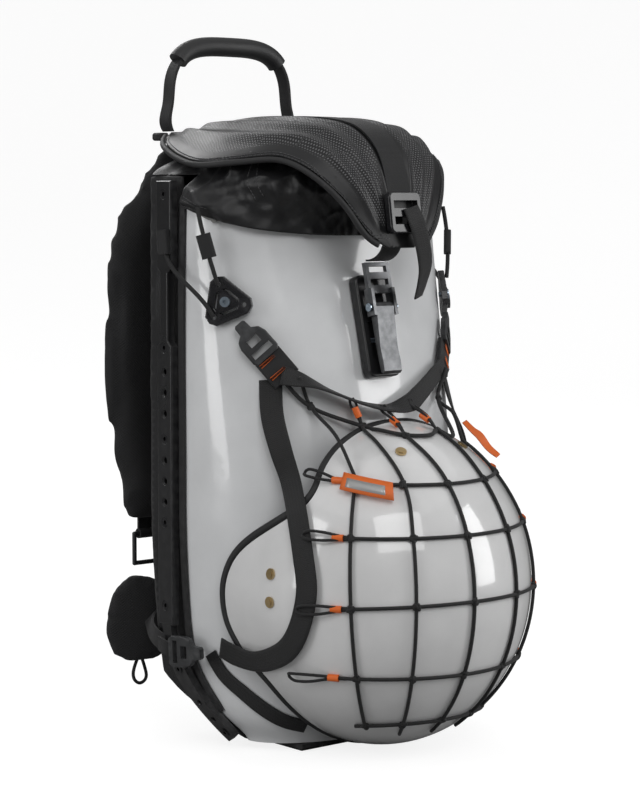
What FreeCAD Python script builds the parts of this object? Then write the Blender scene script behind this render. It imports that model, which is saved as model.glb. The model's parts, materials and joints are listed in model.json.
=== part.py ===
import FreeCAD, Part
import math
import os
import Sketcher
from FreeCAD import Placement, Rotation, Vector

# Ski backpack with a moulded hard shell, a padded harness and an elastic cargo net that holds a helmet.
# Millimetres. +Z is up, -Y is the front (the shell), +Y is the wearer's side, X runs across the pack.
# The origin is on the floor, under the middle of the moulded base. "left" pieces are at -X.

DIMENSIONS = [
    ("pack_half_width", 131, "hard shell, half its widest width"),
    ("rim_height", 462, "hard shell, height of its rim above the floor"),
    ("front_depth", 118, "hard shell, from its rear edge to its front"),
    ("floor_height", 7, "height of the hard shell's underside"),
    ("shell_wall", 3, "hard shell wall"),
    ("fit_gap", 0.4, "clearance between pieces that touch"),
    ("bag_depth", 45, "fabric bag behind the hard shell"),
    ("bag_height", 478, "top of the fabric bag"),
    ("fabric_wall", 2.5, "fabric bag wall"),
    ("board_thickness", 3, "frame sheet"),
    ("board_top", 494, "top of the frame sheet"),
    ("board_bottom", 56, "bottom of the frame sheet"),
    ("stay_width", 16, "aluminium stay"),
    ("stay_thickness", 2, "aluminium stay"),
    ("stay_spacing", 90, "between the two stays"),
    ("back_pad_thickness", 30, "back pad"),
    ("back_pad_half_width", 92, "back pad"),
    ("back_pad_bottom", 190, "underside of the back pad"),
    ("channel_width", 36, "air channel in the back pad"),
    ("channel_depth", 12, "air channel in the back pad"),
    ("lumbar_half_width", 80, "lumbar pad"),
    ("lumbar_thickness", 54, "lumbar pad at its thickest"),
    ("pad_round", 7, "rounding of the foam pads"),
    ("strap_width", 56, "shoulder strap"),
    ("strap_thickness", 14, "shoulder strap"),
    ("tape_width", 20, "flat webbing on the harness"),
    ("tape_thickness", 1.6, "flat webbing"),
    ("slider_x", 86, "chest strap slider, from the middle"),
    ("slider_z", 352, "height of the chest strap sliders"),
    ("slider_travel", 40, "each way of the chest strap sliders"),
    ("strap_face", "=bag_depth + back_pad_thickness + 36", "wearer's face of the shoulder straps"),
    ("ring_x", 88, "side ring, from the middle"),
    ("ring_y", "=bag_depth + back_pad_thickness + 33", "side ring"),
    ("ring_z", 166, "height of the side ring's bar"),
    ("ring_bar", 4, "side ring's bar"),
    ("wing_axis_x", "=lumbar_half_width + wing_thickness / 2 + 1.5", "hip wing's hinge axis"),
    ("wing_axis_y", "=bag_depth + lumbar_thickness - 8", "hip wing's hinge axis"),
    ("wing_rest_angle", 30, "hip wing at rest, degrees behind straight sideways"),
    ("wing_length", 48, "hip wing, from its hinge"),
    ("wing_height", 82, "hip wing"),
    ("wing_thickness", 15, "hip wing"),
    ("wing_bottom", 52, "underside of the hip wing"),
    ("rail_width", 20, "side rail"),
    ("rail_thickness", 7, "side rail"),
    ("rail_top", 474, "top of the side rail"),
    ("rail_pitch", 17.4, "between the rail's holes"),
    ("rail_hole", 4.4, "diameter of the rail's holes"),
    ("screw_head", 8.4, "diameter of a rail screw's head"),
    ("screw_shank", 4.2, "diameter of a rail screw's shank"),
    ("edge_strip_width", 7, "rubber strip on the shell's rear edge"),
    ("edge_strip_thickness", 2.4, "rubber strip"),
    ("lid_thickness", 8, "moulded lid"),
    ("lid_top", "=rim_height + 65", "top of the lid"),
    ("lid_half_width", "=pack_half_width - 7", "lid"),
    ("lid_front", "=front_depth + 11", "front of the lid's beak from the shell's rear edge"),
    ("lid_hinge_y", "=bag_depth + 47", "lid hinge behind the shell's rear edge"),
    ("lid_hinge_z", "=lid_top - 8", "height of the lid hinge"),
    ("binding_diameter", 5, "lid edge binding"),
    ("lid_strap_width", 25, "centre strap"),
    ("handle_half_width", 66, "grab handle, half the distance between its feet"),
    ("handle_y", 103, "grab handle behind the shell's rear edge"),
    ("handle_foot", 517.5, "height of the handle's feet"),
    ("handle_top", 593, "height of the grab handle's middle"),
    ("grip_diameter", 17, "grip sleeve"),
    ("handle_tape_width", 18, "grab handle webbing"),
    ("helmet_half_width", "=pack_half_width - 5", "helmet"),
    ("helmet_half_length", 137, "helmet, brow to nape"),
    ("helmet_crown", 126, "helmet, from its widest section to the crown"),
    ("helmet_y", "=front_depth - 15", "helmet's widest section in front of the shell's rear edge"),
    ("helmet_wall", 4, "helmet shell"),
    ("helmet_floor", 4, "lowest point of the helmet"),
    ("liner_thickness", 22, "helmet liner"),
    ("trim_diameter", 7, "helmet edge trim"),
    ("cord_diameter", 3, "net cord"),
    ("knot_diameter", 7, "net knot"),
    ("band_width", 19, "net edge webbing"),
    ("band_thickness", 1.8, "net edge webbing"),
    ("hook_width", 26, "net hook"),
    ("hook_length", 36, "net hook"),
    ("hook_thickness", 5, "net hook"),
    ("triangle_size", 36, "triangular cord runner, side to side"),
    ("triangle_thickness", 5, "triangular cord runner"),
    ("catch_width", 34, "catch plate"),
    ("catch_height", 86, "catch plate"),
    ("catch_thickness", 13, "catch plate, at its middle"),
    ("catch_middle", 352, "height of the catch plate's middle"),
    ("clasp_width", 26, "lever clasp"),
    ("clasp_length", 52, "lever clasp frame"),
    ("clasp_wall", 3, "lever clasp side walls"),
    ("base_half_width", 66, "moulded base pad"),
]


def make_sheet(document):
    """The spreadsheet that drives the model: name, value, note."""
    made = document.addObject("Spreadsheet::Sheet", "Dimensions")
    for row, (name, value, note) in enumerate(DIMENSIONS, start=1):
        made.set(f"A{row}", name)
        made.set(f"B{row}", str(value))
        made.setAlias(f"B{row}", name)
        made.set(f"C{row}", note)
    document.recompute()
    return made


doc = FreeCAD.newDocument("SkiBackpack")
sheet = make_sheet(doc)
nodes = {}


def cleared(shape, *names):
    """A shape with the room that nodes beside it take cut away; what is cut loose is left out."""
    for name in names:
        shape = shape.cut(nodes[name].Shape)
    return max(shape.Solids, key=lambda solid: solid.Volume)



def dim(name):
    """A driving dimension's value, in millimetres."""
    return float(sheet.get(name))


GAP = dim("fit_gap")
LEFT, RIGHT = -1, 1
SIDES = ((LEFT, "left"), (RIGHT, "right"))


def keep(label, obj):
    """Registers a finished document object as the node called label."""
    obj.Label = label
    nodes[label] = obj
    return obj


def feature(label, shape):
    """A node whose shape is made here with Part's own functions."""
    obj = doc.addObject("Part::Feature", label)
    obj.Shape = shape
    return keep(label, obj)


def mirrored(label, source):
    """The same piece on the other side of the pack."""
    obj = doc.addObject("Part::Mirroring", label)
    obj.Source = source
    obj.Base = Vector(0, 0, 0)
    obj.Normal = Vector(1, 0, 0)
    return keep(label, obj)


def hidden(kind, name, **expressions):
    """A construction object whose properties are bound to the sheet."""
    obj = doc.addObject(kind, name)
    for prop, expression in expressions.items():
        obj.setExpression(prop.replace("__", "."), expression)
    return obj


# ---------------------------------------------------------------- curves and solids


def smooth(stations, at):
    """Smooth interpolation of (position, value) stations, level at both ends."""
    if at <= stations[0][0]:
        return stations[0][1]
    if at >= stations[-1][0]:
        return stations[-1][1]
    index = max(i for i in range(len(stations) - 1) if stations[i][0] <= at)
    (p0, v0), (p1, v1) = stations[index], stations[index + 1]

    def slope(i):
        if i <= 0 or i >= len(stations) - 1:
            return 0.0
        (pa, va), (pb, vb), (pc, vc) = stations[i - 1 : i + 2]
        left, right = (vb - va) / (pb - pa), (vc - vb) / (pc - pb)
        return 0.0 if left * right <= 0 else 2 * left * right / (left + right)

    span = p1 - p0
    t = (at - p0) / span
    t2, t3 = t * t, t * t * t
    return (
        (2 * t3 - 3 * t2 + 1) * v0
        + (t3 - 2 * t2 + t) * span * slope(index)
        + (3 * t2 - 2 * t3) * v1
        + (t3 - t2) * span * slope(index + 1)
    )


def spline_edge(points):
    """One smooth edge through the points."""
    curve = Part.BSplineCurve()
    curve.interpolate(points)
    return curve.toShape()


def solid_of(faces, tolerance=0.01):
    """Sews faces into one closed solid that points outwards."""
    shell = Part.Shell(faces)
    shell.sewShape(tolerance)
    made = Part.Solid(shell)
    made.fix(tolerance, tolerance, tolerance)
    if made.Volume < 0:
        made.reverse()
    return made


def skin(points):
    """A smooth surface through a grid of points."""
    surface = Part.BSplineSurface()
    surface.interpolate(points)
    return surface


def between(top, bottom):
    """The closed solid between two grids of points that have the same rows and columns."""
    upper, lower = skin(top), skin(bottom)
    faces = [upper.toShape(), lower.toShape()]
    u0, u1, v0, v1 = upper.bounds()
    a0, a1, b0, b1 = lower.bounds()
    pairs = [
        (upper.uIso(u0), lower.uIso(a0)),
        (upper.uIso(u1), lower.uIso(a1)),
        (upper.vIso(v0), lower.vIso(b0)),
        (upper.vIso(v1), lower.vIso(b1)),
    ]
    faces += [Part.makeRuledSurface(a.toShape(), b.toShape()) for a, b in pairs]
    return solid_of(faces)


def grid_normals(grid):
    """Unit normals of a grid of points, from its neighbours."""
    rows, columns = len(grid), len(grid[0])
    found = []
    for i in range(rows):
        line = []
        for j in range(columns):
            along = grid[min(i + 1, rows - 1)][j] - grid[max(i - 1, 0)][j]
            across = grid[i][min(j + 1, columns - 1)] - grid[i][max(j - 1, 0)]
            line.append(along.cross(across).normalize())
        found.append(line)
    return found


def padded(grid, thickness):
    """A pad of even thickness: the grid is one face, and thickness runs along its normals."""
    normals = grid_normals(grid)
    other = [
        [p + n * thickness for p, n in zip(row, line)]
        for row, line in zip(grid, normals)
    ]
    return between(grid, other)


def rectangle(centre, across, through, width, thickness):
    """A rectangular wire: width along across, thickness from centre along through."""
    half = across * (width / 2)
    corners = [
        centre - half,
        centre + half,
        centre + half + through * thickness,
        centre - half + through * thickness,
    ]
    return Part.makePolygon(corners + corners[:1])


def ribbon(points, normals, width, thickness, ruled=False):
    """A flat strap along points: its face lies on them, its thickness runs along the normals."""
    widths = width if isinstance(width, (list, tuple)) else [width] * len(points)
    wires = []
    for i, (point, normal) in enumerate(zip(points, normals)):
        ahead = points[min(i + 1, len(points) - 1)] - points[max(i - 1, 0)]
        ahead.normalize()
        through = normal - ahead * normal.dot(ahead)
        through.normalize()
        wires.append(
            rectangle(point, ahead.cross(through), through, widths[i], thickness)
        )
    return Part.makeLoft(wires, True, ruled)


def rounded_path(points):
    """Straight runs joined by tangent arcs, each as large as its two runs allow."""
    edges = []
    start = points[0]
    for i in range(1, len(points) - 1):
        before, corner, after = points[i - 1], points[i], points[i + 1]
        run = min((corner - before).Length, (after - corner).Length) * 0.45
        first = (before - corner).normalize()
        last = (after - corner).normalize()
        enter, leave = corner + first * run, corner + last * run
        turn = math.pi - first.getAngle(last)
        radius = run / math.tan(turn / 2)
        inward = (first + last).normalize()
        centre = corner + inward * math.hypot(run, radius)
        middle = centre - inward * radius
        if (enter - start).Length > 1e-6:
            edges.append(Part.LineSegment(start, enter).toShape())
        edges.append(Part.Arc(enter, middle, leave).toShape())
        start = leave
    edges.append(Part.LineSegment(start, points[-1]).toShape())
    return Part.Wire(edges)


def tube(path, diameter):
    """A round solid along a wire or an edge."""
    wire = path if path.ShapeType == "Wire" else Part.Wire([path])
    edge = wire.Edges[0]
    start = edge.valueAt(edge.FirstParameter)
    along = edge.tangentAt(edge.FirstParameter)
    ring = Part.Wire([Part.makeCircle(diameter / 2, start, along)])
    made = wire.makePipeShell([ring], True, True)
    if made.Volume < 0:
        made.reverse()
    return made


def placed(x, y, z, axis_x, axis_z):
    """A placement whose local X and Z axes point along the given directions."""
    z_axis = Vector(axis_z).normalize()
    x_axis = (axis_x - z_axis * axis_x.dot(z_axis)).normalize()
    y_axis = z_axis.cross(x_axis)
    turn = Rotation(x_axis, y_axis, z_axis, "ZXY")
    return Placement(Vector(x, y, z), turn)


# ---------------------------------------------------------------- sketches and bodies


def make_body(label, placement=None):
    """An empty PartDesign body that becomes the node called label."""
    body = doc.addObject("PartDesign::Body", label)
    if placement is not None:
        body.Placement = placement
    return keep(label, body)


def origin_plane(body, role):
    return next(f for f in body.Origin.OriginFeatures if f.Role == role)


def sketch_on(body, name, role="XY_Plane", offset=None):
    made = body.newObject("Sketcher::SketchObject", name)
    made.AttachmentSupport = [(origin_plane(body, role), "")]
    made.MapMode = "FlatFace"
    if offset:
        made.setExpression("AttachmentOffset.Base.z", offset)
    return made


def add_rectangle(sketch, width, height, x="0", y="0", tag=""):
    """A rectangle centred on x, y: every argument is an expression on the sheet."""
    first = sketch.GeometryCount
    corners = [(-1, -1), (1, -1), (1, 1), (-1, 1)]
    for i in range(4):
        a, b = corners[i], corners[(i + 1) % 4]
        line = Part.LineSegment(Vector(*a, 0), Vector(*b, 0))
        sketch.addGeometry(line, False)
    for i in range(4):
        sketch.addConstraint(
            Sketcher.Constraint("Coincident", first + i, 2, first + (i + 1) % 4, 1)
        )
    for i, kind in enumerate(("Horizontal", "Vertical", "Horizontal", "Vertical")):
        sketch.addConstraint(Sketcher.Constraint(kind, first + i))
    bind(sketch, "DistanceX", (first, 1, first, 2), f"width{tag}", width)
    bind(sketch, "DistanceY", (first + 1, 1, first + 1, 2), f"height{tag}", height)
    bind(sketch, "DistanceX", (-1, 1, first, 2), f"right{tag}", f"({x}) + ({width}) / 2")
    bind(sketch, "DistanceY", (-1, 1, first + 2, 1), f"top{tag}", f"({y}) + ({height}) / 2")


def add_circle(sketch, diameter, x="0", y="0", tag=""):
    first = sketch.GeometryCount
    sketch.addGeometry(Part.Circle(Vector(0, 0, 0), Vector(0, 0, 1), 1), False)
    bind(sketch, "Diameter", (first,), f"diameter{tag}", diameter)
    bind(sketch, "DistanceX", (-1, 1, first, 3), f"x{tag}", x)
    bind(sketch, "DistanceY", (-1, 1, first, 3), f"y{tag}", y)


def bind(sketch, kind, elements, name, expression):
    """A named dimension of the sketch, driven by an expression."""
    index = sketch.addConstraint(Sketcher.Constraint(kind, *elements, 1.0))
    sketch.renameConstraint(index, name)
    sketch.setExpression(f"Constraints.{name}", cells(expression))


def add_outline(sketch, points):
    """A closed outline of straight lines through points, each pinned to its place."""
    first = sketch.GeometryCount
    count = len(points)
    for i in range(count):
        line = Part.LineSegment(points[i], points[(i + 1) % count])
        sketch.addGeometry(line, False)
    for i in range(count):
        sketch.addConstraint(
            Sketcher.Constraint("Coincident", first + i, 2, first + (i + 1) % count, 1)
        )
        sketch.addConstraint(Sketcher.Constraint("Block", first + i))


def cells(expression):
    """Puts the sheet's name before each of its aliases in an expression."""
    text = str(expression)
    for name, _, _ in sorted(DIMENSIONS, key=lambda row: -len(row[0])):
        text = text.replace(name, f"\0{name}\1")
    while "\0" in text:
        start = text.index("\0")
        end = text.index("\1", start)
        name = text[start + 1 : end].replace("\0", "").replace("\1", "")
        text = text[:start] + "Dimensions." + name + text[end + 1 :]
    return text


def pad(body, sketch, length, midplane=False, name="Pad"):
    made = body.newObject("PartDesign::Pad", name)
    made.Profile = sketch
    made.setExpression("Length", cells(length))
    made.Midplane = midplane
    return made


def pocket(body, sketch, length=None, name="Pocket"):
    """Cuts both ways from its sketch when no length is given."""
    made = body.newObject("PartDesign::Pocket", name)
    made.Profile = sketch
    if length is None:
        made.Type = "ThroughAll"
        made.Midplane = True
    else:
        made.setExpression("Length", cells(length))
    return made


def fillet(body, base, edges, radius, name="Fillet"):
    made = body.newObject("PartDesign::Fillet", name)
    made.Base = (base, edges)
    made.setExpression("Radius", cells(radius))
    return made


def edges_along(shape, direction, least=0.0):
    """Names of the straight edges of a shape that run along a direction."""
    found = []
    for i, edge in enumerate(shape.Edges, start=1):
        if edge.Curve.TypeId != "Part::GeomLine" or edge.Length < least:
            continue
        if abs(edge.tangentAt(edge.FirstParameter).dot(direction)) > 0.999:
            found.append(f"Edge{i}")
    return found


# ---------------------------------------------------------------- the pack's own form

# Stations of the hard shell: (height as a share of its own height, share or offset at that height).
WIDTH_SHARE = [(0, 0.70), (0.03, 0.78), (0.065, 0.85), (0.10, 0.90), (0.16, 0.94), (0.22, 0.965)]
WIDTH_SHARE += [(0.30, 0.985), (0.41, 1.0), (0.80, 1.0), (1.0, 0.985)]
DEPTH_SHARE = [(0, 0.76), (0.03, 0.84), (0.065, 0.895), (0.10, 0.93), (0.16, 0.965), (0.22, 0.985)]
DEPTH_SHARE += [(0.41, 1.0), (0.52, 0.955), (0.62, 0.88), (0.73, 0.785), (0.83, 0.69), (1.0, 0.54)]
SETBACK = [(0, 40), (0.03, 33), (0.065, 22), (0.10, 12), (0.16, 3.5), (0.22, 0), (1.0, 0)]
SECTION_SHARES = (0, 0.012, 0.035, 0.08, 0.14, 0.22, 0.33, 0.46, 0.60, 0.74, 0.87, 1.0)
SIDE_POWER = (2.0, 2.45)


def shell_share(z):
    bottom = dim("floor_height")
    return (z - bottom) / (dim("rim_height") - bottom)


def half_width(z):
    return dim("pack_half_width") * smooth(WIDTH_SHARE, shell_share(z))


def front_depth(z):
    return dim("front_depth") * smooth(DEPTH_SHARE, shell_share(z))


def setback(z):
    """How far the shell's rear edge lies in front of the rear plane at height z."""
    return smooth(SETBACK, shell_share(z))


def front_curve(z, out=0.0, sideways=None, count=17):
    """Points of the shell's front from its left rear edge to its right one, moved outwards by out."""
    wide = half_width(z) + (out if sideways is None else sideways)
    back = setback(z)
    deep = front_depth(z) + out - back
    low, high = SIDE_POWER
    share = min(max(shell_share(z), 0), 1)
    power = 2 / (low + (high - low) * share)
    points = []
    for i in range(count):
        angle = math.pi * i / (count - 1)
        c, s = math.cos(angle), math.sin(angle)
        x = -wide * math.copysign(abs(c) ** power, c)
        points.append(Vector(x, -back - deep * abs(s) ** power, z))
    points[0].x, points[-1].x = -wide, wide
    return points


def section(z, out=0.0, rear=0.0, sideways=None):
    """A closed D-shaped wire at height z whose flat side lies rear behind the shell's rear edge."""
    points = front_curve(z, out, sideways)
    behind = Vector(0, rear, 0)
    first, last = points[0], points[-1]
    edges = [spline_edge(points)]
    if abs(rear) > 1e-9:
        edges.append(Part.makeLine(last, last + behind))
    edges.append(Part.makeLine(last + behind, first + behind))
    if abs(rear) > 1e-9:
        edges.append(Part.makeLine(first + behind, first))
    return Part.Wire(edges)


def shell_heights():
    bottom, top = dim("floor_height"), dim("rim_height")
    return [bottom + share * (top - bottom) for share in SECTION_SHARES]


def shell_block(out=0.0, rear=0.0, lift=0.0):
    """The solid inside the shell's outer face, moved outwards by out."""
    heights = shell_heights()
    heights[0] += lift
    wires = [section(z, out, rear) for z in heights]
    return Part.makeLoft(wires, True, False)


def rear_edge(side, z):
    """A point of the shell's rear edge, its direction upwards, its outward and its rearward normals."""
    step = 0.5

    def at(height):
        return Vector(side * half_width(height), -setback(height), height)

    up = (at(z + step) - at(z - step)).normalize()
    outward = Vector(side, 0, 0)
    outward = (outward - up * outward.dot(up)).normalize()
    rearward = up.cross(outward) * side
    return at(z), up, outward, rearward


def on_shell(side, share, z):
    """A point of the shell's front at a share of the way round from its rear edge to its middle, and its normal."""
    fine = front_curve(z, count=81)
    index = round(share * 40)
    point, ahead, behind = fine[index], fine[index + 1], fine[index - 1]
    outward = Vector(ahead.y - behind.y, behind.x - ahead.x, 0).normalize()
    if outward.y > 0:
        outward = outward * -1
    if side == RIGHT:
        point = Vector(-point.x, point.y, point.z)
        outward = Vector(-outward.x, outward.y, 0)
    return point, outward


# ---------------------------------------------------------------- hard shell and fabric bag


def make_hard_shell():
    """Moulded monocoque: open at the top and towards the wearer."""
    wall = dim("shell_wall")
    heights = shell_heights()
    heights = [heights[0] + wall] + [z for z in heights if z > heights[0] + wall + 1]
    inside = [section(z, -wall, 2 * wall) for z in heights]
    rim = section(dim("rim_height"), -wall, 2 * wall)
    rim.translate(Vector(0, 0, 2 * wall))
    inside.append(rim)
    inner = Part.makeLoft(inside, True, False)
    return shell_block().cut(inner)


feature("hard_shell", make_hard_shell())


def bag_section(z, inset):
    """A rectangle at height z behind the shell's rear edge, inset from the fabric's outer face."""
    wide = half_width(min(z, dim("rim_height"))) - 1 - inset
    front = -setback(z) + GAP
    low, high = dim("floor_height"), dim("board_bottom")
    climb = min(max((z - low) / (high - low), 0), 1)
    rear = front + 5 + (dim("bag_depth") - front - 5) * climb - inset
    front -= 4 * inset
    corners = [(-wide, front), (wide, front), (wide, rear), (-wide, rear)]
    points = [Vector(x, y, z) for x, y in corners]
    return Part.makePolygon(points + points[:1])


def make_bag_body():
    """Fabric tub behind the shell: two side walls, a sloping bottom and a rear wall, open to the front and top."""
    wall = dim("fabric_wall")
    low, high, top = dim("floor_height"), dim("board_bottom"), dim("bag_height")
    steps = [low, (2 * low + high) / 3, (low + 2 * high) / 3, high]
    steps += [high + (top - high) * share for share in (0.07, 0.16, 0.3, 0.55, 1)]
    outer = Part.makeLoft([bag_section(z, 0) for z in steps], True, True)
    wires = [bag_section(z, wall) for z in steps]
    for wire in wires[:4]:
        wire.translate(Vector(0, 0, 1.4 * wall))
    lift = bag_section(top, wall)
    lift.translate(Vector(0, 0, wall))
    inner = Part.makeLoft(wires + [lift], True, True)
    return cleared(outer.cut(inner), "hard_shell")


feature("bag_body", make_bag_body())

# ---------------------------------------------------------------- frame sheet, stays and back pads

REAR = "bag_depth + fit_gap"


def back_plane(label, y_expression):
    """A body whose XY plane stands upright, facing the wearer, with its Y axis up."""
    body = make_body(label)
    turn = Rotation(Vector(-1, 0, 0), Vector(0, 0, 1), Vector(0, 1, 0), "ZXY")
    body.Placement = Placement(Vector(0, 0, 0), turn)
    body.setExpression("Placement.Base.y", cells(y_expression))
    return body


def make_frame_sheet():
    body = back_plane("frame_sheet", REAR)
    outline = sketch_on(body, "FrameSheetOutline")
    low, high = dim("board_bottom"), dim("board_top")
    left = [Vector(-half_width(z) + 7, z, 0) for z in (low, low + 40, low + 90)]
    left.append(Vector(-dim("pack_half_width") + 8, high - 40, 0))
    left.append(Vector(-dim("pack_half_width") + 32, high, 0))
    right = [Vector(-p.x, p.y, 0) for p in reversed(left)]
    add_outline(outline, left + right)
    pad(body, outline, "board_thickness")


def make_stays():
    """Two aluminium stays in front of the frame sheet's rear face, inside the back pad's channel sides."""
    base = hidden(
        "Part::Box",
        "Stay",
        Length=cells("stay_width"),
        Width=cells("stay_thickness"),
        Height=cells("board_top - board_bottom - 70"),
    )
    base.setExpression("Placement.Base.x", cells("-stay_spacing / 2 - stay_width / 2"))
    base.setExpression("Placement.Base.y", cells(f"{REAR} + board_thickness + fit_gap"))
    base.setExpression("Placement.Base.z", cells("board_bottom + 35"))
    other = doc.addObject("Part::Mirroring", "StayOther")
    other.Source = base
    other.Normal = Vector(1, 0, 0)
    both = doc.addObject("Part::Compound", "frame_stays")
    both.Links = [base, other]
    keep("frame_stays", both)


PAD_FRONT = REAR + " + board_thickness + stay_thickness + 2 * fit_gap"


def make_back_pad():
    body = back_plane("back_pad", PAD_FRONT)
    outline = sketch_on(body, "BackPadOutline")
    high = "board_top + 4"
    add_rectangle(
        outline,
        "2 * back_pad_half_width",
        f"{high} - back_pad_bottom",
        y=f"({high} + back_pad_bottom) / 2",
    )
    block = pad(body, outline, "back_pad_thickness")
    channel = sketch_on(body, "BackPadChannel", offset=cells("back_pad_thickness"))
    add_rectangle(channel, "channel_width", "2 * board_top", y="board_top")
    cut = pocket(body, channel, "channel_depth")
    doc.recompute()
    rear_z = dim("back_pad_thickness")
    edges = []
    for i, edge in enumerate(cut.Shape.Edges, start=1):
        middle = edge.CenterOfMass
        if abs(middle.z - rear_z) < 0.1 or abs(abs(middle.x) - dim("back_pad_half_width")) < 0.1:
            if middle.z > 1:
                edges.append(f"Edge{i}")
    fillet(body, cut, edges, "pad_round * 0.7")
    return block


def make_lumbar_pad():
    """Side profile padded across the pack: thin at its ends, thickest a third of the way up."""
    body = make_body("lumbar_pad")
    turn = Rotation(Vector(0, 1, 0), Vector(0, 0, 1), Vector(1, 0, 0), "ZXY")
    body.Placement = Placement(Vector(0, 0, 0), turn)
    body.setExpression("Placement.Base.y", cells(PAD_FRONT))
    profile = sketch_on(body, "LumbarProfile")
    low = dim("wing_bottom") - 4
    high = dim("back_pad_bottom") - 2 * GAP
    deep = dim("lumbar_thickness")
    shares = [(0.0, 0.45), (0.12, 0.8), (0.32, 1.0), (0.55, 0.98), (0.8, 0.84), (1.0, 0.62)]
    points = [Vector(0, low, 0)]
    points += [Vector(deep * d, low + (high - low) * s, 0) for s, d in shares]
    points.append(Vector(0, high, 0))
    add_outline(profile, points)
    block = pad(body, profile, "2 * lumbar_half_width", midplane=True)
    doc.recompute()
    edges = []
    for i, edge in enumerate(block.Shape.Edges, start=1):
        middle = edge.CenterOfMass
        if abs(abs(middle.z) - dim("lumbar_half_width")) < 0.1 and middle.x > 8:
            edges.append(f"Edge{i}")
    fillet(body, block, edges, "pad_round")


make_frame_sheet()
make_stays()
make_back_pad()
make_lumbar_pad()

# ---------------------------------------------------------------- shoulder straps and their webbing

# Where the middle of a shoulder strap runs: (height, sideways, behind the rear plane), wearer's face outwards.
STRAP_LINE = [(502, 44, 88), (478, 55, 97), (440, 72, 101), (390, 83, 103), (330, 87, 103)]
STRAP_LINE += [(270, 86, 102), (215, 82, 99), (178, 78, 96)]


def strap_rows(widths):
    """Grid across the strap's face towards the pack, from its top to its end."""
    shift = dim("back_pad_thickness") + dim("bag_depth") - 75
    height = dim("board_top") - 494
    grid = []
    for (z, x, y), share in zip(STRAP_LINE, widths):
        half = dim("strap_width") / 2 * share
        row = []
        for s in (-1, -0.5, 0, 0.5, 1):
            curl = 2.0 * s * s
            row.append(Vector(-x + half * s, y - 7 + shift - curl, z + height))
        grid.append(row)
    return grid


def make_shoulder_strap():
    """Curved foam strap that lies on the back pad."""
    grid = strap_rows([0.86, 0.95, 1, 1, 1, 1, 0.95, 0.8])
    return cleared(padded(grid, -dim("strap_thickness")), "lumbar_pad")


strap = feature("shoulder_strap_left", make_shoulder_strap())
mirrored("shoulder_strap_right", strap)


def both_sides(solids):
    """Solids of the left side and their mirror images, as one shape."""
    flipped = [solid.mirror(Vector(0, 0, 0), Vector(1, 0, 0)) for solid in solids]
    return Part.makeCompound(list(solids) + flipped)


def make_strap_tape(side):
    """Straight webbing down the wearer's face of a shoulder strap, and the tab that holds the ring."""
    x, y = side * dim("slider_x"), dim("strap_face") + GAP
    low, high = dim("slider_z") - dim("slider_travel") - 22, dim("slider_z") + dim("slider_travel") + 22
    line = [Vector(x, y, low), Vector(x, y, high)]
    normals = [Vector(0, 1, 0)] * 2
    return ribbon(line, normals, dim("tape_width"), dim("tape_thickness"), True)


feature("strap_webbing", both_sides([make_strap_tape(LEFT)]))


def make_slider(side, name):
    """Chest strap slider: a plate with a tunnel for the webbing and two slots for the chest strap."""
    body = make_body(name)
    body.Placement = Placement(Vector(0, 0, 0), Rotation(Vector(-1, 0, 0), Vector(0, 0, 1), Vector(0, 1, 0), "ZXY"))
    body.setExpression("Placement.Base.x", cells(f"{side} * slider_x"))
    body.setExpression("Placement.Base.y", cells("strap_face + fit_gap"))
    body.setExpression("Placement.Base.z", cells("slider_z"))
    outline = sketch_on(body, f"{name}_outline")
    add_rectangle(outline, "tape_width + 11", "21")
    block = pad(body, outline, "tape_thickness + 4")
    tunnel = sketch_on(body, f"{name}_tunnel")
    add_rectangle(tunnel, "tape_width + 2 * fit_gap", "22")
    hollow = pocket_up(body, tunnel, "tape_thickness + 1")
    slots = sketch_on(body, f"{name}_slots")
    for tag, place in (("a", "5.5"), ("b", "-5.5")):
        add_rectangle(slots, "tape_width", "3.2", y=place, tag=tag)
    pocket(body, slots, name=f"{name}_slot_cut")
    return body


def pocket_up(body, sketch, length, name="PocketUp"):
    """A pocket that cuts towards its sketch's own normal."""
    made = pocket(body, sketch, length, name)
    made.Reversed = True
    return made


make_slider(LEFT, "strap_slider_left")
make_slider(RIGHT, "strap_slider_right")


def make_ring_tab():
    """Webbing tab from a shoulder strap's end, sewn into a loop round the ring's bar."""
    x, y, z = -dim("ring_x"), dim("ring_y"), dim("ring_z")
    bar = dim("ring_bar")
    loop = Part.makeCylinder(bar / 2 + 2.4, dim("tape_width"), Vector(x - dim("tape_width") / 2, y, z), Vector(1, 0, 0))
    end = Vector(x, y - 1.2, z + 46)
    line = [Vector(x, y - 1.2, z + bar / 2 + 1.4), end]
    tab = ribbon(line, [Vector(0, 1, 0)] * 2, dim("tape_width"), 2.4, True)
    bore = Part.makeCylinder(bar / 2 + 0.6, 60, Vector(x - 30, y, z), Vector(1, 0, 0))
    return loop.fuse(tab).cut(bore).removeSplitter()


def make_ring():
    """Rectangular ring of round bar that hangs from its tab."""
    x, y, z = -dim("ring_x"), dim("ring_y"), dim("ring_z")
    half, drop, radius = dim("tape_width") / 2 + 4, 26, dim("ring_bar") / 2
    corners = [Vector(x - half, y, z), Vector(x + half, y, z)]
    corners += [Vector(x + half, y, z - drop), Vector(x - half, y, z - drop)]
    made = None
    for i in range(4):
        start, end = corners[i], corners[(i + 1) % 4]
        bar = Part.makeCylinder(radius, (end - start).Length, start, end - start)
        knob = Part.makeSphere(radius * 1.02, start)
        made = bar.fuse(knob) if made is None else made.fuse([bar, knob])
    return made


feature("ring_tabs", both_sides([make_ring_tab()]))
ring = feature("side_ring_left", make_ring())
mirrored("side_ring_right", ring)

# ---------------------------------------------------------------- hip wings and the base


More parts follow.
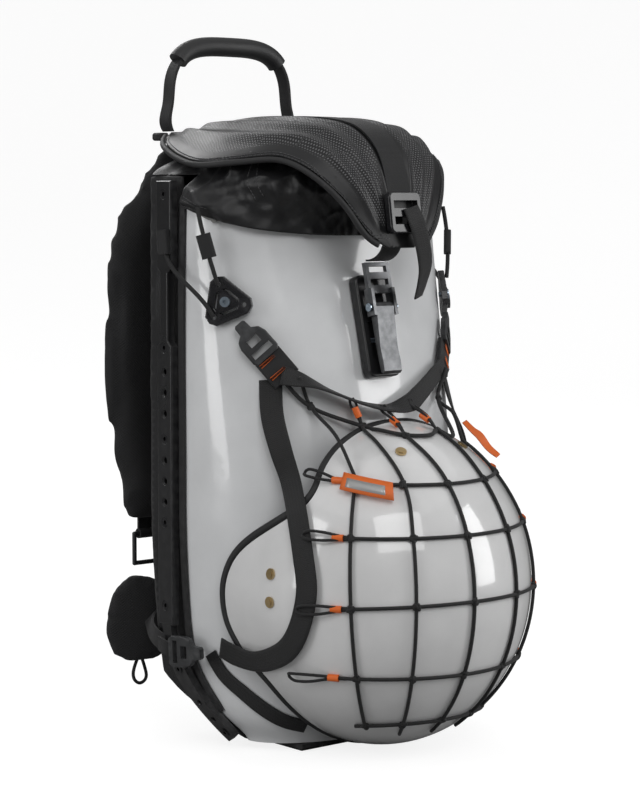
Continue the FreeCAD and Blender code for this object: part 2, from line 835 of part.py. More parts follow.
def make_wing(side, name):
    """Padded hip wing that folds about an upright axis beside the lumbar pad."""
    body = make_body(name)
    angle = math.radians(dim("wing_rest_angle"))
    along = Vector(side * math.cos(angle), math.sin(angle), 0)
    up = Vector(0, 0, 1)
    face = along.cross(up)
    body.Placement = Placement(Vector(0, 0, 0), Rotation(along, up, face, "ZXY"))
    body.setExpression("Placement.Base.x", cells(f"{side} * wing_axis_x"))
    body.setExpression("Placement.Base.y", cells("wing_axis_y"))
    body.setExpression("Placement.Base.z", cells("wing_bottom"))
    outline = sketch_on(body, f"{name}_outline")
    length, high, half = dim("wing_length"), dim("wing_height"), dim("wing_thickness") / 2
    points = [(-half * 0.8, 4), (length * 0.55, 0), (length * 0.86, high * 0.1), (length, high * 0.32)]
    points += [(length * 0.98, high * 0.55), (length * 0.84, high * 0.82), (length * 0.5, high), (-half * 0.8, high - 6)]
    add_outline(outline, [Vector(a, b, 0) for a, b in points])
    block = pad(body, outline, "wing_thickness", midplane=True)
    doc.recompute()
    edges = []
    for i, edge in enumerate(block.Shape.Edges, start=1):
        if abs(abs(edge.CenterOfMass.z) - half) < 0.1:
            edges.append(f"Edge{i}")
    fillet(body, block, edges, "wing_thickness * 0.36")
    return body


make_wing(LEFT, "hip_wing_left")
make_wing(RIGHT, "hip_wing_right")


def make_wing_strap():
    """Stabiliser webbing from the bag's side to just short of the hip wing."""
    wide = -dim("pack_half_width")
    points = [Vector(wide + 2, 22, 84), Vector(wide + 3, 40, 88), Vector(wide + 14, 62, 93), Vector(wide + 26, 78, 97)]
    normals = [Vector(-1, 0.05, 0), Vector(-1, 0.3, 0), Vector(-0.8, -0.3, 0), Vector(-0.7, -0.6, 0)]
    return ribbon(points, normals, 16, dim("tape_thickness"))


feature("wing_straps", both_sides([make_wing_strap()]))


def make_base_pad():
    """Moulded base: flat underneath, stepped to follow the bag's sloping bottom."""
    body = make_body("base_pad")
    turn = Rotation(Vector(0, 1, 0), Vector(0, 0, 1), Vector(1, 0, 0), "ZXY")
    body.Placement = Placement(Vector(0, 0, 0), turn)
    profile = sketch_on(body, "BaseProfile")
    floor = dim("floor_height")
    climb = dim("bag_depth") - 45
    points = [(-76, 0), (24 + climb, 0), (28 + climb, 5), (28 + climb, floor + 27.8), (24 + climb, floor + 28.2)]
    points += [(-3, floor + 12.2), (-36, floor - 0.5), (-80, floor - 0.5), (-80, 3)]
    add_outline(profile, [Vector(y, z, 0) for y, z in points])
    block = pad(body, profile, "2 * base_half_width", midplane=True)
    doc.recompute()
    half = dim("base_half_width")
    picked = []
    for i, edge in enumerate(block.Shape.Edges, start=1):
        middle = edge.CenterOfMass
        if abs(abs(middle.z) - half) < 0.1 and middle.y < 0.5:
            picked.append(f"Edge{i}")
    fillet(body, block, picked, "3")


make_base_pad()

# ---------------------------------------------------------------- side rails

# Where a rail's inner face runs below its straight part: (sideways from the pack's half width, y, z).
RAIL_FOOT = [(2.6, 10, 118), (2.4, 10, 104), (0.6, 7.5, 88), (-4, 2, 68), (-12, -9, 46), (-23, -22, 26), (-33, -32, 11)]


def rail_foot_frames():
    """Points of the left rail's inner face below its straight part, and the outward normals there."""
    points = [Vector(-dim("pack_half_width") - a, y, z) for a, y, z in RAIL_FOOT]
    normals = []
    for i in range(len(points)):
        along = points[min(i + 1, len(points) - 1)] - points[max(i - 1, 0)]
        normals.append(Vector(along.z, 0, -along.x).normalize())
    return points, normals


def screw_places():
    """Centre of each rail screw's head on the left rail's outer face, and its axis pointing outwards."""
    face = -dim("pack_half_width") - 2.6 - dim("rail_thickness")
    top = dim("rail_top")
    heights = [top - 11, top - 138, top - 214, top - 284, top - 354]
    places = [(Vector(face, 10, z), Vector(-1, 0, 0)) for z in heights]
    points, normals = rail_foot_frames()
    for i in (3, 6):
        point, normal = points[i], normals[i]
        if i == 6:
            point = points[5] * 0.4 + points[6] * 0.6
        places.append((point + normal * dim("rail_thickness"), normal))
    return places


def hole_places():
    """Countersunk holes of the left rail, between its screws."""
    face = -dim("pack_half_width") - 2.6 - dim("rail_thickness")
    top, pitch = dim("rail_top"), dim("rail_pitch")
    heights = [top - 158 - i * pitch for i in range(3)] + [top - 232 - i * pitch for i in range(3)]
    places = [(Vector(face, 10, z), Vector(-1, 0, 0)) for z in heights]
    points, normals = rail_foot_frames()
    thick = dim("rail_thickness")
    for share in (0.25, 0.95):
        point = points[4] * (1 - share) + points[5] * share
        places.append((point + normals[4] * thick, normals[4]))
    return places


def countersink(place, axis, bore, head, depth):
    """The hollow a countersunk screw needs, from its head's face inwards."""
    through = Part.makeCylinder(bore / 2, depth + 2, place + axis, axis * -1)
    sink = Part.makeCone(head / 2, bore / 2, (head - bore) / 2, place, axis * -1)
    lip = Part.makeCylinder(head / 2, 2, place + axis * 2, axis * -1)
    return through.fuse(sink).fuse(lip)


def make_rail():
    """Notched plastic rail: straight beside the bag, then a narrow bridge and a foot that curves under."""
    inner = -dim("pack_half_width") - 2.6
    top, half, thick = dim("rail_top"), dim("rail_width") / 2, dim("rail_thickness")
    waist = half * 0.52
    steps = [(top, half), (top - 72, half), (top - 76, waist), (top - 132, waist), (top - 137, half), (104, half)]
    right = [Vector(inner, 10 + w, z) for z, w in steps]
    left = [Vector(inner, 10 - w, z) for z, w in reversed(steps)]
    face = Part.Face(Part.makePolygon(right + left + right[:1]))
    straight = face.extrude(Vector(-thick, 0, 0))
    sharp = [e for e in straight.Edges if abs(e.CenterOfMass.x - inner + thick) < 0.01]
    straight = straight.makeFillet(1.6, sharp)
    points, normals = rail_foot_frames()
    widths = [16, 13, 11, 17, 17, 17, 15]
    foot = ribbon(points, normals, widths, thick - 1)
    made = straight.fuse(foot)
    for place, axis in screw_places():
        made = made.cut(countersink(place, axis, dim("screw_shank") + 2 * GAP, dim("screw_head") + 2 * GAP, 12))
    for place, axis in hole_places():
        made = made.cut(countersink(place, axis, dim("rail_hole"), dim("rail_hole") + 3, 12))
    return made.removeSplitter()


def make_screws():
    """Socket screws of the left rail: countersunk heads and short shanks."""
    made = []
    for place, axis in screw_places():
        shank, head = dim("screw_shank"), dim("screw_head")
        cone = Part.makeCone(head / 2, shank / 2, (head - shank) / 2, place - axis * 0.3, axis * -1)
        rod = Part.makeCylinder(shank / 2, dim("rail_thickness") + 1, place - axis * 0.3, axis * -1)
        hexagon = [Vector(1.9 * math.cos(a), 1.9 * math.sin(a), 0) for a in (math.pi / 3 * i for i in range(7))]
        socket = Part.Face(Part.makePolygon(hexagon)).extrude(Vector(0, 0, -1.6))
        socket.Placement = placed(*(place - axis * 0.2), Vector(0, 1, 0), axis)
        made.append(cone.fuse(rod).cut(socket).removeSplitter())
    return made


rail = feature("rail_left", make_rail())
mirrored("rail_right", rail)
feature("rail_screws", both_sides(make_screws()))


def make_edge_strip():
    """Rubber strip along the left rear edge of the hard shell."""
    points, normals = [], []
    low, high = dim("floor_height") + 26, dim("rim_height") - 4
    for i in range(14):
        z = low + (high - low) * i / 13
        point, _, outward, _ = rear_edge(LEFT, z)
        points.append(point + outward * GAP + Vector(0, -0.9 - dim("edge_strip_width") / 2, 0))
        normals.append(outward)
    strip = ribbon(points, normals, dim("edge_strip_width"), dim("edge_strip_thickness"))
    return cleared(strip, "hard_shell", "rail_left")


feature("shell_edges", both_sides([make_edge_strip()]))

# ---------------------------------------------------------------- collar

# The collar's outer face: (above the rim, front offset from the shell, side offset from the shell).
COLLAR = [(-44, 6, 4.2), (-30, 8, 4.2), (-16, 12, 4.4), (-4, 17, 4.0), (4, 19, 1.5), (12, 19, -4)]
COLLAR += [(20, 16, -12), (28, 11, -22), (34, 6, -31)]


def collar_sections(inset):
    """Sections of the collar, rear wall included, moved inwards by inset."""
    wires = []
    for above, front, sideways in COLLAR:
        z = dim("rim_height") + above
        wires.append(section(z, front - inset, dim("bag_depth") - 6 - inset, sideways - inset))
    return wires


def make_collar():
    """Fabric throat: drapes over the front of the shell's rim and rises in a ring under the lid."""
    wall = dim("fabric_wall")
    rim = dim("rim_height")
    outer = Part.makeLoft(collar_sections(0), True, False)
    wires = collar_sections(wall)
    for wire, lift in ((wires[0], -4), (wires[-1], 4)):
        wire.translate(Vector(0, 0, lift))
    inner = Part.makeLoft(wires, True, False)
    tube_part = outer.cut(inner)
    wide = dim("pack_half_width") + 40
    behind = Part.makeBox(2 * wide, 200, 100 + dim("bag_height") - rim + 1, Vector(-wide, -7, rim - 100))
    low, high = rim - 60, rim - 10
    slope = [Vector(-wide, -7, high), Vector(-wide, -160, high - 52), Vector(-wide, -160, low - 60), Vector(-wide, -7, low - 60)]
    hem = Part.Face(Part.makePolygon(slope + slope[:1])).extrude(Vector(2 * wide, 0, 0))
    return cleared(tube_part.cut(behind).cut(hem), "shell_edges")


feature("collar", make_collar())

# ---------------------------------------------------------------- helmet

# The helmet's open edge: (degrees from the brow down round the side, how far in front of the shell's rear edge).
HELMET_EDGE = [(0, 119.5), (16, 117.5), (27, 118), (38, 121), (51, 128), (59, 117), (67, 92), (74, 69)]
HELMET_EDGE += [(82, 54.5), (91, 49), (98, 49), (105, 54), (112, 62), (126, 84), (144, 94), (162, 98), (180, 99)]


def helmet_centre():
    return Vector(0, -dim("helmet_y"), dim("helmet_floor") + dim("helmet_half_length"))


def helmet_axes(inset=0.0):
    """Half sizes of the helmet's outer face, or of a face inset from it."""
    return (
        dim("helmet_half_width") - inset,
        dim("helmet_crown") - inset,
        dim("helmet_half_length") - inset,
    )


def helmet_solid(inset):
    """Half an ellipsoid at the front that runs straight back towards the pack."""
    turns = [math.radians(7.5 * i - 90) for i in range(13)]
    crown = spline_edge([Vector(math.cos(a), math.sin(a), 0) for a in turns])
    corners = [Vector(1, 0, 0), Vector(1, 0.75, 0), Vector(0, 0.75, 0), Vector(0, -1, 0)]
    side = [Part.makeLine(a, b) for a, b in zip(corners, corners[1:])]
    whole = Part.Face(Part.Wire([crown] + side)).revolve(Vector(0, 0, 0), Vector(0, 1, 0), 360)
    matrix = FreeCAD.Matrix()
    matrix.scale(*helmet_axes(inset))
    whole = whole.transformGeometry(matrix)
    whole.translate(helmet_centre())
    return whole


def helmet_point(angle, y, inset):
    """A point of the helmet at degrees from the brow round its right side, at y."""
    wide, crown, tall = helmet_axes(inset)
    centre = helmet_centre()
    ahead = max(centre.y - y, 0) / crown
    ring = math.sqrt(max(1 - ahead * ahead, 0))
    a = math.radians(angle)
    return Vector(wide * ring * math.sin(a), y, centre.z + tall * ring * math.cos(a))


def edge_y(angle, further=0.0, at_least=0.0):
    """Where the helmet's open edge lies at an angle; further moves it away from the pack."""
    move = dim("helmet_y") - 103
    return -max(smooth(HELMET_EDGE, angle) + further, at_least) - move


def edge_line(away, further=0.0, at_least=0.0):
    """(angle, y) along the helmet's edge, moved square to it by away, from brow to nape."""
    radius = 0.5 * (dim("helmet_half_width") + dim("helmet_half_length"))
    line = []
    for i in range(0, 181, 6):
        ahead = edge_y(min(i + 2, 180), further, at_least) - edge_y(max(i - 2, 0), further, at_least)
        run = math.radians(min(i + 2, 180) - max(i - 2, 0)) * radius
        size = math.hypot(ahead, run)
        angle = i + math.degrees(ahead / size * away / radius)
        line.append((min(max(angle, 0), 180), edge_y(i, further, at_least) - away * run / size))
    return line


def behind_edge(away=0.0, further=0.0, at_least=0.0):
    """The solid behind the helmet's edge, to cut away."""
    profile = []
    for angle, y in edge_line(away, further, at_least):
        point = helmet_point(angle, y, dim("helmet_wall") / 2)
        if not profile or point.z < profile[-1].z - 0.4:
            profile.append(Vector(-300, point.y, point.z))
    first, last = profile[0], profile[-1]
    top, bottom = Vector(-300, first.y, first.z + 30), Vector(-300, last.y, last.z - 30)
    edges = [Part.makeLine(top, first), spline_edge(profile), Part.makeLine(last, bottom)]
    far = [Vector(-300, 200, bottom.z), Vector(-300, 200, top.z)]
    edges += [Part.makeLine(bottom, far[0]), Part.makeLine(far[0], far[1]), Part.makeLine(far[1], top)]
    return Part.Face(Part.Wire(edges)).extrude(Vector(600, 0, 0))


def make_helmet_shell():
    wall = dim("helmet_wall")
    away = dim("trim_diameter") / 2 + 0.8
    return helmet_solid(0).cut(helmet_solid(wall)).cut(behind_edge(away))


def make_helmet_liner():
    wall = dim("helmet_wall")
    block = helmet_solid(wall + GAP).cut(helmet_solid(wall + dim("liner_thickness")))
    return block.cut(behind_edge(0, 12, 90))


def make_trim():
    """Rubber bead along the helmet's open edge."""
    rings = []
    points = []
    for i in range(0, 360, 6):
        angle = i if i <= 180 else 360 - i
        points.append(helmet_point(angle, edge_y(angle), dim("helmet_wall") / 2))
        if i > 180:
            points[-1].x = -points[-1].x
    count = len(points)
    for i, point in enumerate(points):
        along = points[(i + 1) % count] - points[i - 1]
        rings.append(Part.Wire([Part.makeCircle(dim("trim_diameter") / 2, point, along)]))
    return Part.makeLoft(rings, True, False, True)


helmet_shell = feature("helmet_shell", make_helmet_shell())
feature("helmet_liner", make_helmet_liner())
feature("helmet_trim", make_trim())


def helmet_surface(lon, lat, out):
    """A point out from the helmet's face at a longitude and latitude, and the outward normal there."""
    wide, crown, tall = helmet_axes()
    lo, la = math.radians(lon), math.radians(lat)
    unit = Vector(math.cos(la) * math.sin(lo), -math.cos(la) * math.cos(lo), math.sin(la))
    centre = helmet_centre()
    if abs(lon) > 90:
        unit.y = 0
    point = centre + Vector(unit.x * wide, unit.y * crown, unit.z * tall)
    normal = Vector(unit.x / wide, unit.y / crown, unit.z / tall).normalize()
    return point + normal * out, normal


def helmet_normal(point):
    """The helmet face's outward normal nearest to a point."""
    wide, crown, tall = helmet_axes()
    centre = helmet_centre()
    ahead = min(point.y - centre.y, 0)
    return Vector((point.x - centre.x) / wide**2, ahead / crown**2, (point.z - centre.z) / tall**2).normalize()


def make_snaps():
    """Brass press studs on the helmet's side and brow."""
    made = []
    for lon, lat in ((-86, 8), (-86, -1.5), (-28, 57), (36, 57), (86, 8), (86, -1.5)):
        point, normal = helmet_surface(lon, lat, GAP)
        ring = Part.makeCylinder(4.6, 1.2, point, normal)
        cap = Part.makeCylinder(2.6, 1.7, point, normal)
        made.append(ring.fuse(cap).removeSplitter())
    return Part.makeCompound(made)


feature("helmet_snaps", make_snaps())

# ---------------------------------------------------------------- cargo net

# The left net band's path: (x, y, z) of its inner face, from the anchor tab over the helmet to the lower hook.
BAND = [(-90, -79, 312), (-98, -80, 284), (-101, -88, 254), (-97, -106, 231), (-107, -128, 204)]
BAND += [(-114, -142, 176), (-117.5, -146, 150), (-119.5, -140, 126), (-121.5, -124, 107), (-121, -102, 94)]
BAND += [(-121.5, -72, 90), (-124, -46, 86)]
# Columns run down the helmet's crown as (latitude, longitude); rows are (latitude, reach, sag).
COLUMNS = [
    [(44, -54), (22, -53), (-50, -50)],
    [(73, -66), (62, -45), (44, -31), (22, -29), (-56, -29)],
    [(66, -19), (55, -12), (44, -8), (22, -6), (-56, -6)],
    [(67, 27), (55, 22), (44, 19), (22, 18), (-56, 18)],
    [(58, 50), (44, 43), (22, 42), (-50, 41)],
]
ROWS = [(44, 80, -3), (22, 70, 0), (-2, 70, 2), (-26, 78, 0), (-50, 56, 2)]
CROWN_KNOTS = [(-66, 73), (-19, 66), (27, 67), (50, 58)]
# The net's upper webbing between the anchor tabs: (x, y, z) and the direction its face looks.
TOP_BAND = [
    ((-91, -84, 316), (-0.6, -0.75, 0.25)),
    ((-82, -92, 313), (-0.45, -0.6, 0.66)),
    ((-70, -99, 308.5), (-0.15, -0.3, 0.94)),
    ((-52, -106, 300), (0.05, -0.15, 0.99)),
    ((-28, -114, 290.5), (0.05, -0.15, 0.99)),
    ((-4, -120.5, 286), (0, -0.3, 0.95)),
    ((16, -119, 289), (0.05, -0.75, 0.66)),
    ((34, -111, 295), (0.15, -0.93, 0.35)),
    ((52, -103, 303), (0.3, -0.93, 0.22)),
    ((70, -94.5, 311), (0.48, -0.86, 0.16)),
    ((87, -84.5, 317), (0.64, -0.75, 0.14)),
]


def band_frames():
    """Points and outward normals of the left net band, held clear of the helmet."""
    shift = Vector(126 - dim("helmet_half_width"), 103 - dim("helmet_y"), 0)
    points, normals = [], []
    for x, y, z in BAND:
        point = Vector(x, y, z) + shift
        normal = helmet_normal(point)
        if z > 240:
            share = min((z - 240) / 40, 1)
            front = Vector(-0.66, -0.74, 0.12)
            normal = (normal * (1 - share) + front * share).normalize()
        elif y > -70:
            normal = Vector(-1, 0, -0.15).normalize()
        points.append(point)
        normals.append(normal)
    return points, normals


def make_band():
    """Left side of the net's edge webbing."""
    points, normals = band_frames()
    lifted = []
    for point, normal in zip(points, normals):
        wide, crown, tall = helmet_axes()
        centre = helmet_centre()
        rel = point - centre
        ahead = min(rel.y, 0)
        size = math.sqrt((rel.x / wide) ** 2 + (ahead / crown) ** 2 + (rel.z / tall) ** 2)
        if size < 1.022 and point.z < centre.z + tall * 0.75:
            scale = 1.022 / size
            point = centre + Vector(rel.x * scale, ahead * scale + max(rel.y, 0), rel.z * scale)
        lifted.append(point)
    return ribbon(lifted, normals, dim("band_width"), dim("band_thickness"))


def on_right(shape):
    """The same shape on the pack's other side."""
    return shape.mirror(Vector(0, 0, 0), Vector(1, 0, 0))


def row_latitude(row, lon):
    lat, reach, sag = row
    return lat + sag * (1 - (lon / reach) ** 2)


def column_longitude(column, lat):
    return smooth(sorted((-a, b) for a, b in column), -lat)


def cord_lift():
    return dim("cord_diameter") / 2 + GAP


def net_rows():
    """The net's cross cords: each lies on the helmet and passes over the side bands."""
    lap = dim("band_thickness") + 3.6
    edges = []
    for row in ROWS:
        lat, reach, _ = row
        points = []
        half = [0.16, 0.33, 0.5, 0.66, 0.82, 0.9, 0.96, 1]
        for share in [-value for value in reversed(half)] + [0] + half:
            lon = reach * share
            over = max(0.0, (abs(share) - 0.88) / 0.08)
            out = cord_lift() + (lap * min(over, 1) if lat > -40 else 0)
            points.append(helmet_surface(lon, row_latitude(row, lon), out)[0])
        edges.append(spline_edge(points))
    return edges


def net_columns():
    """The net's long cords, which cross over the rows; the outer two come down from the shoulder knots."""
    lift = cord_lift() + dim("cord_diameter") + 0.2
    edges = []
    for number, column in enumerate(COLUMNS):
        high, low = column[0][0], column[-1][0]
        outer = {0: LEFT, len(COLUMNS) - 1: RIGHT}.get(number)
        high -= 2.5 if outer is None else 4
        points = []
        for i in range(11):
            lat = high + (low - high) * i / 10
            points.append(helmet_surface(column_longitude(column, lat), lat, lift)[0])
        if outer is not None:
            knot = shoulder_knot(outer)
            drop = (points[0] - knot).normalize()
            points.insert(0, (knot + points[0]) * 0.5 + Vector(0, -4, 5))
            points.insert(0, knot + drop * 5)
        edges.append(spline_edge(points))
    return edges


def shoulder_knot(side):
    """Where an anchor's two cords meet the cord that crosses the brow."""
    shift = Vector(0, 103 - dim("helmet_y"), 0)
    return Vector(-side * -70.5, -96.5, 290) + shift


def top_cord():
    """The cord that carries the net's top edge: from one anchor over the brow to the other."""
    lift = cord_lift()
    ends = [anchor_corner(LEFT, 0.7), shoulder_knot(LEFT)]
    knots = [CROWN_KNOTS[0], (-42, 69), CROWN_KNOTS[1], (4, 64.5), CROWN_KNOTS[2]]
    crown = [helmet_surface(lon, lat, lift + (1.5 if lat > 70 else 0))[0] for lon, lat in knots]
    tail = [shoulder_knot(RIGHT), anchor_corner(RIGHT, 0.7)]
    return spline_edge(ends + crown + tail)


def anchor_corner(side, share):
    """A point on the lower end of an anchor tab, out from the shell."""
    point = Vector(-90.5, -85.5, 312.5) + Vector(7, -5, 5) * (share - 0.7) * 2
    return Vector(-side * point.x, point.y, point.z)


def crown_loops():
    """Short cords from the crown's knots up to the upper webbing: (start, middle, end)."""
    ends = [(-38, -113.5, 287.6), (-12, -123, 280.4), (19, -123, 282)]
    made = []
    for (lon, lat), end in zip(CROWN_KNOTS, ends):
        start, normal = helmet_surface(lon, lat, cord_lift())
        finish = Vector(*end)
        start = start + (finish - start).normalize() * 4.4
        made.append((start, (start + finish) * 0.5 + normal * 2.5, finish))
    return made


def make_net():
    """Every cord of the elastic net; where two cross, one passes over the other."""
    edges = net_rows() + net_columns() + [top_cord()]
    edges += [spline_edge(list(points)) for points in crown_loops()]
    return Part.makeCompound([tube(edge, dim("cord_diameter")) for edge in edges])


feature("net_mesh", make_net())


def make_cord_stops():
    """Small sleeves that grip the net's loops beside the webbing."""
    lift = cord_lift()
    made = []
    for side in (LEFT, RIGHT):
        inner = COLUMNS[0] if side == LEFT else COLUMNS[-1]
        for row in ROWS[:4]:
            lat, reach, _ = row
            near = abs(column_longitude(inner, lat))
            middle = near + (reach * 0.9 - near) * 0.5
            ends = [helmet_surface(side * (middle + d), row_latitude(row, middle), lift)[0] for d in (-1.2, 1.2)]
            along = (ends[1] - ends[0]).normalize()
            made.append(Part.makeCylinder(2.9, 9, (ends[0] + ends[1]) * 0.5 - along * 4.5, along))
    for start, middle, finish in crown_loops():
        along = (finish - start).normalize()
        made.append(Part.makeCylinder(2.9, 9, middle - along * 4.5, along))
    return made


def make_stops():
    """The sleeves, bored for the cords that run through them."""
    bored = []
    edges = net_rows() + [spline_edge(list(points)) for points in crown_loops()]
    helmet = helmet_solid(-0.3)
    cords = [tube(edge, dim("cord_diameter") + 0.02) for edge in edges]
    for bead in make_cord_stops():
        box = bead.BoundBox
        for cord in cords:
            if cord.BoundBox.intersect(box) and cord.distToShape(bead)[0] < 0.01:
                bead = bead.cut(cord)
        bead = bead.cut(helmet)
        bored.append(max(bead.Solids, key=lambda solid: solid.Volume))
    return Part.makeCompound(bored)


feature("cord_stops", make_stops())


band = make_band()
feature("net_band_left", cleared(band, "hard_shell", "net_mesh"))
feature("net_band_right", cleared(on_right(band), "hard_shell", "net_mesh"))


def make_top_band():
    """The net's upper webbing, slack over the helmet's brow."""
    shift = Vector(0, 103 - dim("helmet_y"), 0)
    points = [Vector(*place) + shift for place, _ in TOP_BAND]
    normals = [Vector(*face).normalize() for _, face in TOP_BAND]
    band = ribbon(points, normals, dim("band_width") - 3, dim("band_thickness"))
    return cleared(band, "net_band_left", "net_band_right", "net_mesh")


feature("net_band_top", make_top_band())


def make_tag():
    """Bright fabric tag between the first two columns."""
    out = cord_lift() + 1.5 * dim("cord_diameter") + 0.2 + 2 * GAP
    points, normals = [], []
    for lon in (-56, -50, -45, -40, -34):
        point, normal = helmet_surface(lon, 38.5 - (lon + 45) * 0.12, out)
        points.append(point)
        normals.append(normal)
    return ribbon(points, normals, 16, 1.2)


feature("reflective_tag", make_tag())

# ---------------------------------------------------------------- net hooks on the shell and the rails


# The line that the left runner, hook and net band are pulled along.
TOWARD = Vector(0.41, -0.54, -0.73)


def shell_frame(side, share, z, standoff, toward):
    """A placement on the shell's face: local Z points outwards, local X follows toward."""
    point, outward = on_shell(side, share, z)
    slope = (on_shell(side, share, z + 4)[0] - on_shell(side, share, z - 4)[0]).normalize()
    outward = (outward - slope * outward.dot(slope)).normalize()
    return placed(*(point + outward * standoff), toward, outward)


def runner_frame():
    """Where the left cord runner lies on the shell."""
    return shell_frame(LEFT, 0.335, dim("catch_middle") + 23, 2.4, Vector(LEFT, -0.6, 0.2))


def make_triangle(name):
    """Three-cornered cord runner with a middle screw hole."""
    body = make_body(name, runner_frame())
    size = dim("triangle_size")
    outline = sketch_on(body, f"{name}_outline")
    corners = []
    for angle in (90, 210, 330):
        for turn in (-17, 0, 17):
            a = math.radians(angle + turn)
            reach = size * (0.62 if turn == 0 else 0.585)
            corners.append(Vector(reach * math.cos(a), reach * math.sin(a), 0))
    add_outline(outline, corners)
    block = pad(body, outline, "triangle_thickness")
    doc.recompute()
    holes = sketch_on(body, f"{name}_holes")
    add_circle(holes, "screw_shank + 2 * fit_gap", tag="middle")
    for tag, angle in (("a", 90), ("b", 210), ("c", 330)):
        a = math.radians(angle)
        across, up = (f"triangle_size * {0.43 * part(a):.4f}" for part in (math.cos, math.sin))
        add_circle(holes, "cord_diameter + 1.2", across, up, tag)
    pocket(body, holes, name=f"{name}_hole_cut")
    for number, angle in enumerate((30, 150, 270)):
        slot = sketch_on(body, f"{name}_slot{number}")
        a = math.radians(angle)
        across, out = Vector(-math.sin(a), math.cos(a), 0), Vector(math.cos(a), math.sin(a), 0)
        ends = [(-0.22, 0.19), (0.22, 0.19), (0.15, 0.255), (-0.15, 0.255)]
        add_outline(slot, [across * (size * u) + out * (size * v) for u, v in ends])
        cut = pocket(body, slot, name=f"{name}_slot_cut{number}")
    doc.recompute()
    top = dim("triangle_thickness")
    rim = []
    for i, edge in enumerate(cut.Shape.Edges, start=1):
        middle = edge.CenterOfMass
        straight = edge.Curve.TypeId == "Part::GeomLine"
        if straight and abs(middle.z - top) < 0.01 and math.hypot(middle.x, middle.y) > size * 0.285:
            rim.append(f"Edge{i}")
    fillet(body, cut, rim, "1.2")
    return body


def make_triangle_screw():
    """Screw through the middle of the left runner."""
    top = dim("triangle_thickness") + 0.05
    head = Part.makeCylinder(dim("screw_head") / 2, 2.4, Vector(0, 0, top))
    rod = Part.makeCylinder(dim("screw_shank") / 2, top + 1.6, Vector(0, 0, -1.4))
    hexagon = [Vector(1.9 * math.cos(a), 1.9 * math.sin(a), top + 2.5) for a in (math.pi / 3 * i for i in range(7))]
    socket = Part.Face(Part.makePolygon(hexagon)).extrude(Vector(0, 0, -1.8))
    made = head.fuse(rod).cut(socket)
    made.Placement = runner_frame()
    return made


def make_hook(name, placement):
    """Flat bottle-shaped hook with a webbing slot at its wide end and a nose at its narrow one."""
    body = make_body(name, placement)
    wide, long = dim("hook_width"), dim("hook_length")
    half = [(long * 0.5, wide * 0.42), (long * 0.42, wide * 0.5), (0, wide * 0.5), (-long * 0.16, wide * 0.42)]
    half += [(-long * 0.26, wide * 0.22), (-long * 0.46, wide * 0.2), (-long * 0.5, wide * 0.14)]
    outline = sketch_on(body, f"{name}_outline")
    add_outline(outline, [Vector(x, y, 0) for x, y in half] + [Vector(x, -y, 0) for x, y in reversed(half)])
    pad(body, outline, "hook_thickness")
    slots = sketch_on(body, f"{name}_slots")
    add_rectangle(slots, "5", "hook_width * 0.72", "hook_length * 0.3", "0", "webbing")
    add_rectangle(slots, "7", "hook_width * 0.4", "hook_length * 0.02", "0", "finger")
    cut = pocket(body, slots, name=f"{name}_slot_cut")
    doc.recompute()
    top = dim("hook_thickness")
    rim = []
    for i, edge in enumerate(cut.Shape.Edges, start=1):
        middle = edge.CenterOfMass
        outer = abs(middle.y) > wide * 0.15 or abs(middle.x) > long * 0.4
        if abs(middle.z - top) < 0.01 and edge.Length > 3 and outer and abs(middle.y) > wide * 0.38:
            rim.append(f"Edge{i}")
    if rim:
        fillet(body, cut, rim, "1.2")
    return body


def make_anchor_tab():
    """Sewn webbing square that joins the left upper hook to its net band."""
    frame = shell_frame(LEFT, 0.54, dim("catch_middle") - 30, 2.0, TOWARD)
    tab = Part.makeBox(26, 25, 3.6, Vector(-13, -12.5, 0))
    tab = tab.makeFillet(1, tab.Edges)
    tab.Placement = frame
    return tab


mirrored("triangle_right", make_triangle("triangle_left"))
for side, word in SIDES:
    toward = Vector(-side * TOWARD.x, TOWARD.y, TOWARD.z)
    make_hook(f"hook_upper_{word}", shell_frame(side, 0.455, dim("catch_middle") - 8, 2.6, toward))
feature("triangle_screws", both_sides([make_triangle_screw()]))
tab = make_anchor_tab()
beside_tabs = ("net_band_left", "net_band_right", "net_band_top", "net_mesh", "hook_upper_left", "hook_upper_right")
feature("anchor_tabs", Part.makeCompound([cleared(made, *beside_tabs) for made in (tab, on_right(tab))]))


def make_lower_hook(side, name):
    """Hook that joins the net band's lower end to the rail's bridge."""
    frame = placed(side * (dim("pack_half_width") + 5), -15.5, 84, Vector(0, 1, -0.06), Vector(side, -0.16, 0))
    return make_hook(name, frame)


def make_hook_tab():
    """Webbing loop from the lower hook's nose round the rail's bridge."""
    wide = -dim("pack_half_width")
    points = [Vector(wide - 6.6, 1.8, 84), Vector(wide - 10.2, 5, 84.5), Vector(wide - 10.6, 12, 86), Vector(wide - 9, 19, 87)]
    normals = [Vector(-0.6, -0.8, 0), Vector(-0.95, -0.3, 0), Vector(-1, 0.1, 0), Vector(-0.8, 0.6, 0)]
    return cleared(ribbon(points, normals, 12, 1.6), "hook_lower_left")


for side, word in SIDES:
    make_lower_hook(side, f"hook_lower_{word}")
feature("hook_tabs", both_sides([make_hook_tab()]))


